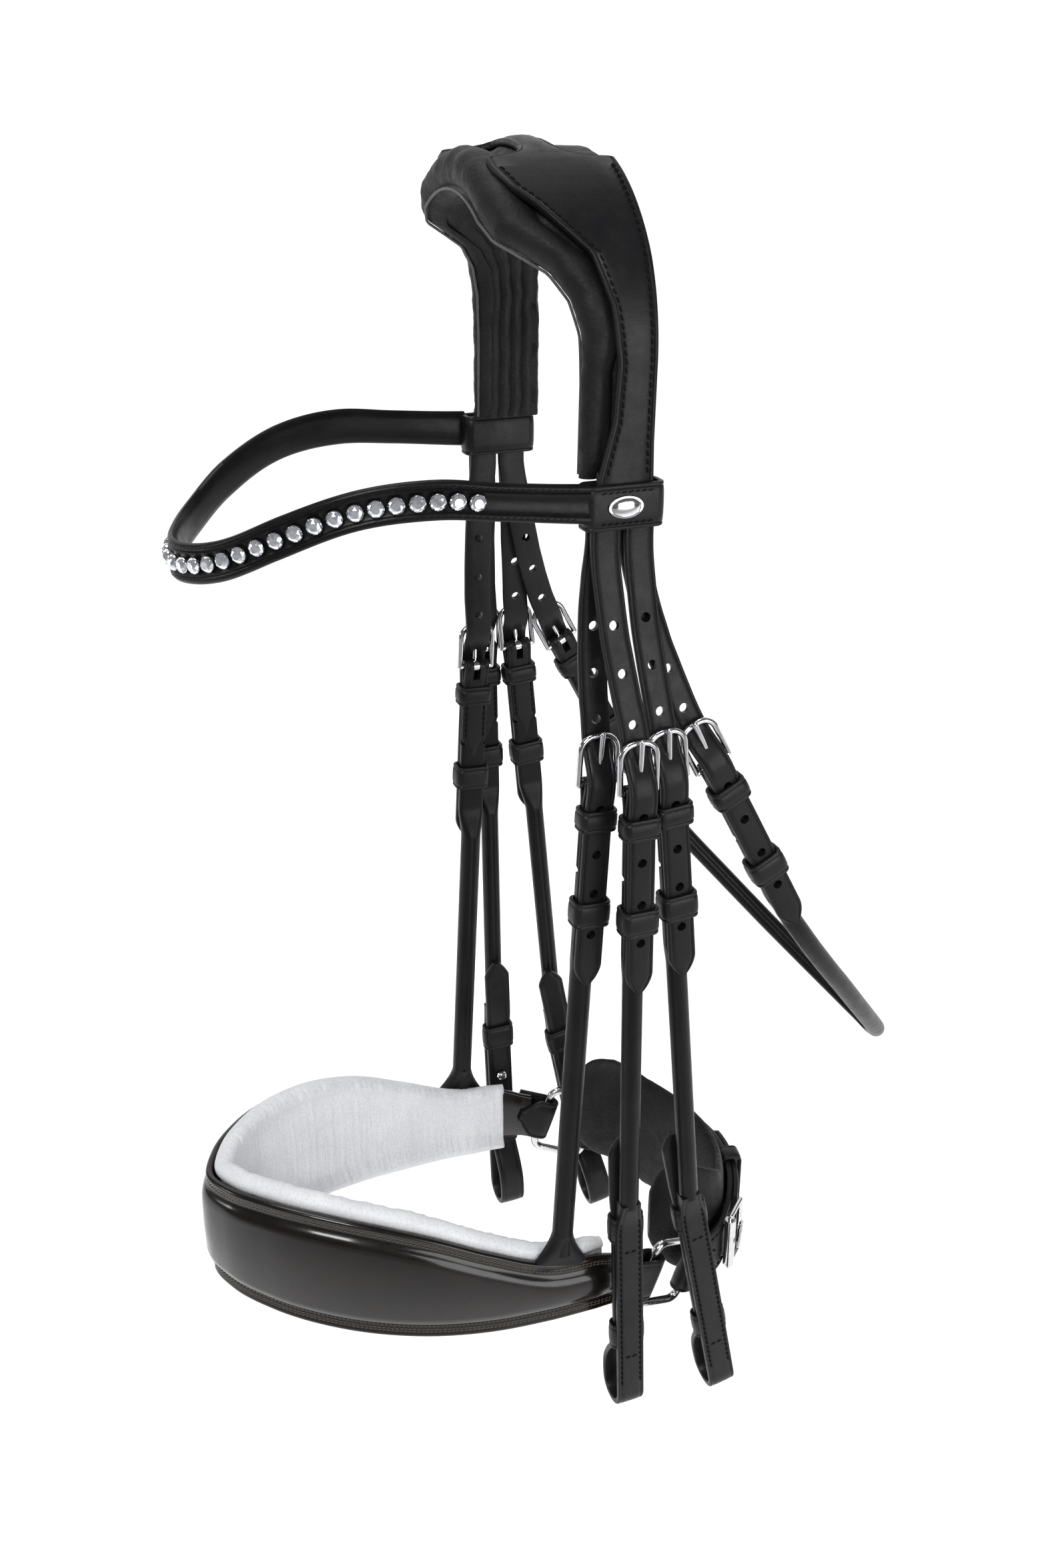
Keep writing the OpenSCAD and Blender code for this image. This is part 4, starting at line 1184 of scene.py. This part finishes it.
def crystals():
    gem, gem_faces = gem_template(3.0, 2.3)
    t = np.linspace(0, 2 * math.pi, 24, endpoint=False)
    cup = [np.stack([r * np.cos(t), r * np.sin(t), np.full(24, z)], axis=1)
           for r, z in ((2.7, 0.0), (3.1, 0.2), (3.14, 1.0), (3.04, 1.3), (2.86, 1.0), (2.7, 0.3))]
    cup, cup_faces, _ = loft_mesh(np.array(cup))
    bead, bead_faces = stitch_template(0.9, 0.34)
    gems, cups = [], []
    for group in loose_parts("crystals"):
        centre = group.mean(0)
        _, _, axes = np.linalg.svd(group - centre)
        n = axes[2]
        if n[1] * centre[1] + n[0] * centre[0] < 0:
            n = -n
        up = unit(np.array([0, 0, 1.0]) - n[2] * n)
        side = np.cross(up, n)
        base = centre - n * 1.1
        gems.append((base + gem[:, :1] * side + gem[:, 1:2] * up + gem[:, 2:] * n, gem_faces))
        low = base - n * 0.5
        cups.append((low + cup[:, :1] * side + cup[:, 1:2] * up + cup[:, 2:] * n, cup_faces))
        for a in (45, 135, 225, 315):
            d = math.cos(math.radians(a)) * side + math.sin(math.radians(a)) * up
            q = low + 2.55 * d + n * 1.5
            e = np.cross(n, d)
            cups.append((q + bead[:, :1] * (n - 0.6 * d) + bead[:, 1:2] * e + bead[:, 2:] * d, bead_faces))
    verts, faces = merge(gems)
    obj = piece("browband_crystals", verts, faces, CRYSTAL, "crystal", "browband", angle=5)
    obj.data.polygons.foreach_set("use_smooth", [False] * len(obj.data.polygons))
    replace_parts(obj, "crystals")
    verts, faces = merge(cups)
    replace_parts(piece("browband_crystal_settings", verts, faces, CHROME, "metal", "browband", angle=40),
                "crystal_cups")


def loop_badge():
    """A plain domed oval stud on the near loop."""
    rings = []
    t = np.linspace(0, 2 * math.pi, 32, endpoint=False)
    for r, x in ((1.0, 70.6), (1.0, 71.0), (0.96, 71.35), (0.84, 71.45), (0.80, 71.3), (0.74, 71.5),
                 (0.5, 71.95),
                 (0.2, 72.15)):
        rings.append(np.stack([np.full(32, x), 12.5 + 7 * r * np.cos(t), -101.6 + 4.2 * r * np.sin(t)],
                              axis=1))
    obj = loft("browband_loop_badge", np.array(rings), CHROME, "metal", "browband", angle=40)
    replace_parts(obj, "loop_stud")


# ---- the scene --------------------------------------------------------------

def metals():
    for name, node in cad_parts.items():
        if node.hide_render:
            continue
        node.data.materials.clear()
        node.data.materials.append(STEEL if "stud" in name or name in ("crank_roller",
                                                                       "noseband_rings") else CHROME)
        for polygon in node.data.polygons:
            polygon.use_smooth = True
        node.data.set_sharp_from_angle(angle=math.radians(35))


def studio():
    bpy.context.scene.view_settings.view_transform = "Standard"
    world = bpy.data.worlds.new("studio")
    bpy.context.scene.world = world
    world.use_nodes = True
    world.node_tree.nodes["Background"].inputs["Color"].default_value = (1, 1, 1, 1)
    world.node_tree.nodes["Background"].inputs["Strength"].default_value = 0.16
    # The floor and the backdrop are a dark grey that glows white: painted light from sheets that are not
    # lamps, and they light the leather too.
    mat, tree, shader = nodes_of("glowing_floor")
    spot = tree.nodes.new("ShaderNodeTexCoord").outputs["Object"]
    tree.links.new(ramp(tree, noise_at(tree, spot, 3), [(0.3, (0.29, 0.29, 0.29)),
                                                        (0.7, (0.31, 0.31, 0.31))]),
                   shader.inputs["Base Color"])
    shader.inputs["Roughness"].default_value = 0.9
    # Glow strength comes from the sheet's own Y. It is almost none on the floor from about 0.55 m toward the
    # camera and full from 0.2 m. So the floor below and in front of the camera goes dark and gives the
    # leather's fronts dark reflections, while the floor in view and the backdrop glow nearly white.
    shader.inputs["Emission Color"].default_value = (1, 1, 1, 1)
    split = tree.nodes.new("ShaderNodeSeparateXYZ")
    tree.links.new(spot, split.inputs["Vector"])
    tree.links.new(to_range(tree, split.outputs["Y"], 0.02, 0.96, -0.55, -0.2),
                   shader.inputs["Emission Strength"])
    for name, place, tilt in (("floor", (0, 0, -0.6), 0), ("backdrop", (-15, 6, -0.5), math.pi / 2)):
        bpy.ops.mesh.primitive_plane_add(size=40, location=place, rotation=(tilt, 0, math.radians(69)))
        sheet = bpy.context.active_object
        sheet.name = name
        sheet.data.materials.append(mat)
    for name, place, size, power in (("key", (1.3, -0.9, 1.0), 0.6, 24), ("side", (1.5, 0.55, -0.1), 1.0, 14),
                                     ("top", (-0.3, -0.2, 1.6), 1.0, 14),
                                     ("front", (-0.4, -1.5, 0.2), 0.3, 3)):
        light = bpy.data.lights.new(name, "AREA")
        light.shape, light.size, light.energy = "SQUARE", size, power
        lamp = bpy.data.objects.new(name, light)
        lamp.location = place
        lamp.rotation_euler = (Vector((0, 0, -0.25)) - Vector(place)).to_track_quat("-Z", "Y").to_euler()
        bpy.context.scene.collection.objects.link(lamp)


def camera():
    azimuth, elevation, distance, target = 69.1, 24.2, 0.6984, Vector((0, 0, -0.2382))
    a, e = math.radians(azimuth), math.radians(elevation)
    back = Vector((math.sin(a) * math.cos(e), -math.cos(a) * math.cos(e), math.sin(e)))
    data = bpy.data.cameras.new("camera")
    data.sensor_fit, data.sensor_height, data.sensor_width = "VERTICAL", 36.0, 24.0
    data.lens = 37.531263
    data.clip_start = 0.01
    obj = bpy.data.objects.new("camera", data)
    obj.location = target + back * distance
    obj.rotation_euler = back.to_track_quat("Z", "Y").to_euler()
    bpy.context.scene.collection.objects.link(obj)
    bpy.context.scene.camera = obj


def bridle():
    crown_pad()
    headpiece()
    throatlatch()
    noseband_leather()
    noseband_padding()
    chin_strap()
    chin_pad()
    browband()
    crystals()
    loop_badge()
    for side, sign in SIDES.items():
        for name in UNITS:
            buckle_strap(name, side, sign)
            lower_strap(name, side, sign)
        hanger_foot(side, sign)
        for name in BILLETS:
            billet(name, side, sign)
        ring_wrap("noseband_ring_fold", side, sign, "noseband", -RING_HALF, -1, 4.3, 21, 2.4, 15, 13)
        ring_wrap("chin_ring_fold", side, sign, "chin_strap", RING_HALF, 1, 3.4, 22, 2.2, 11, 12)
    metals()


camera()
studio()
bridle()
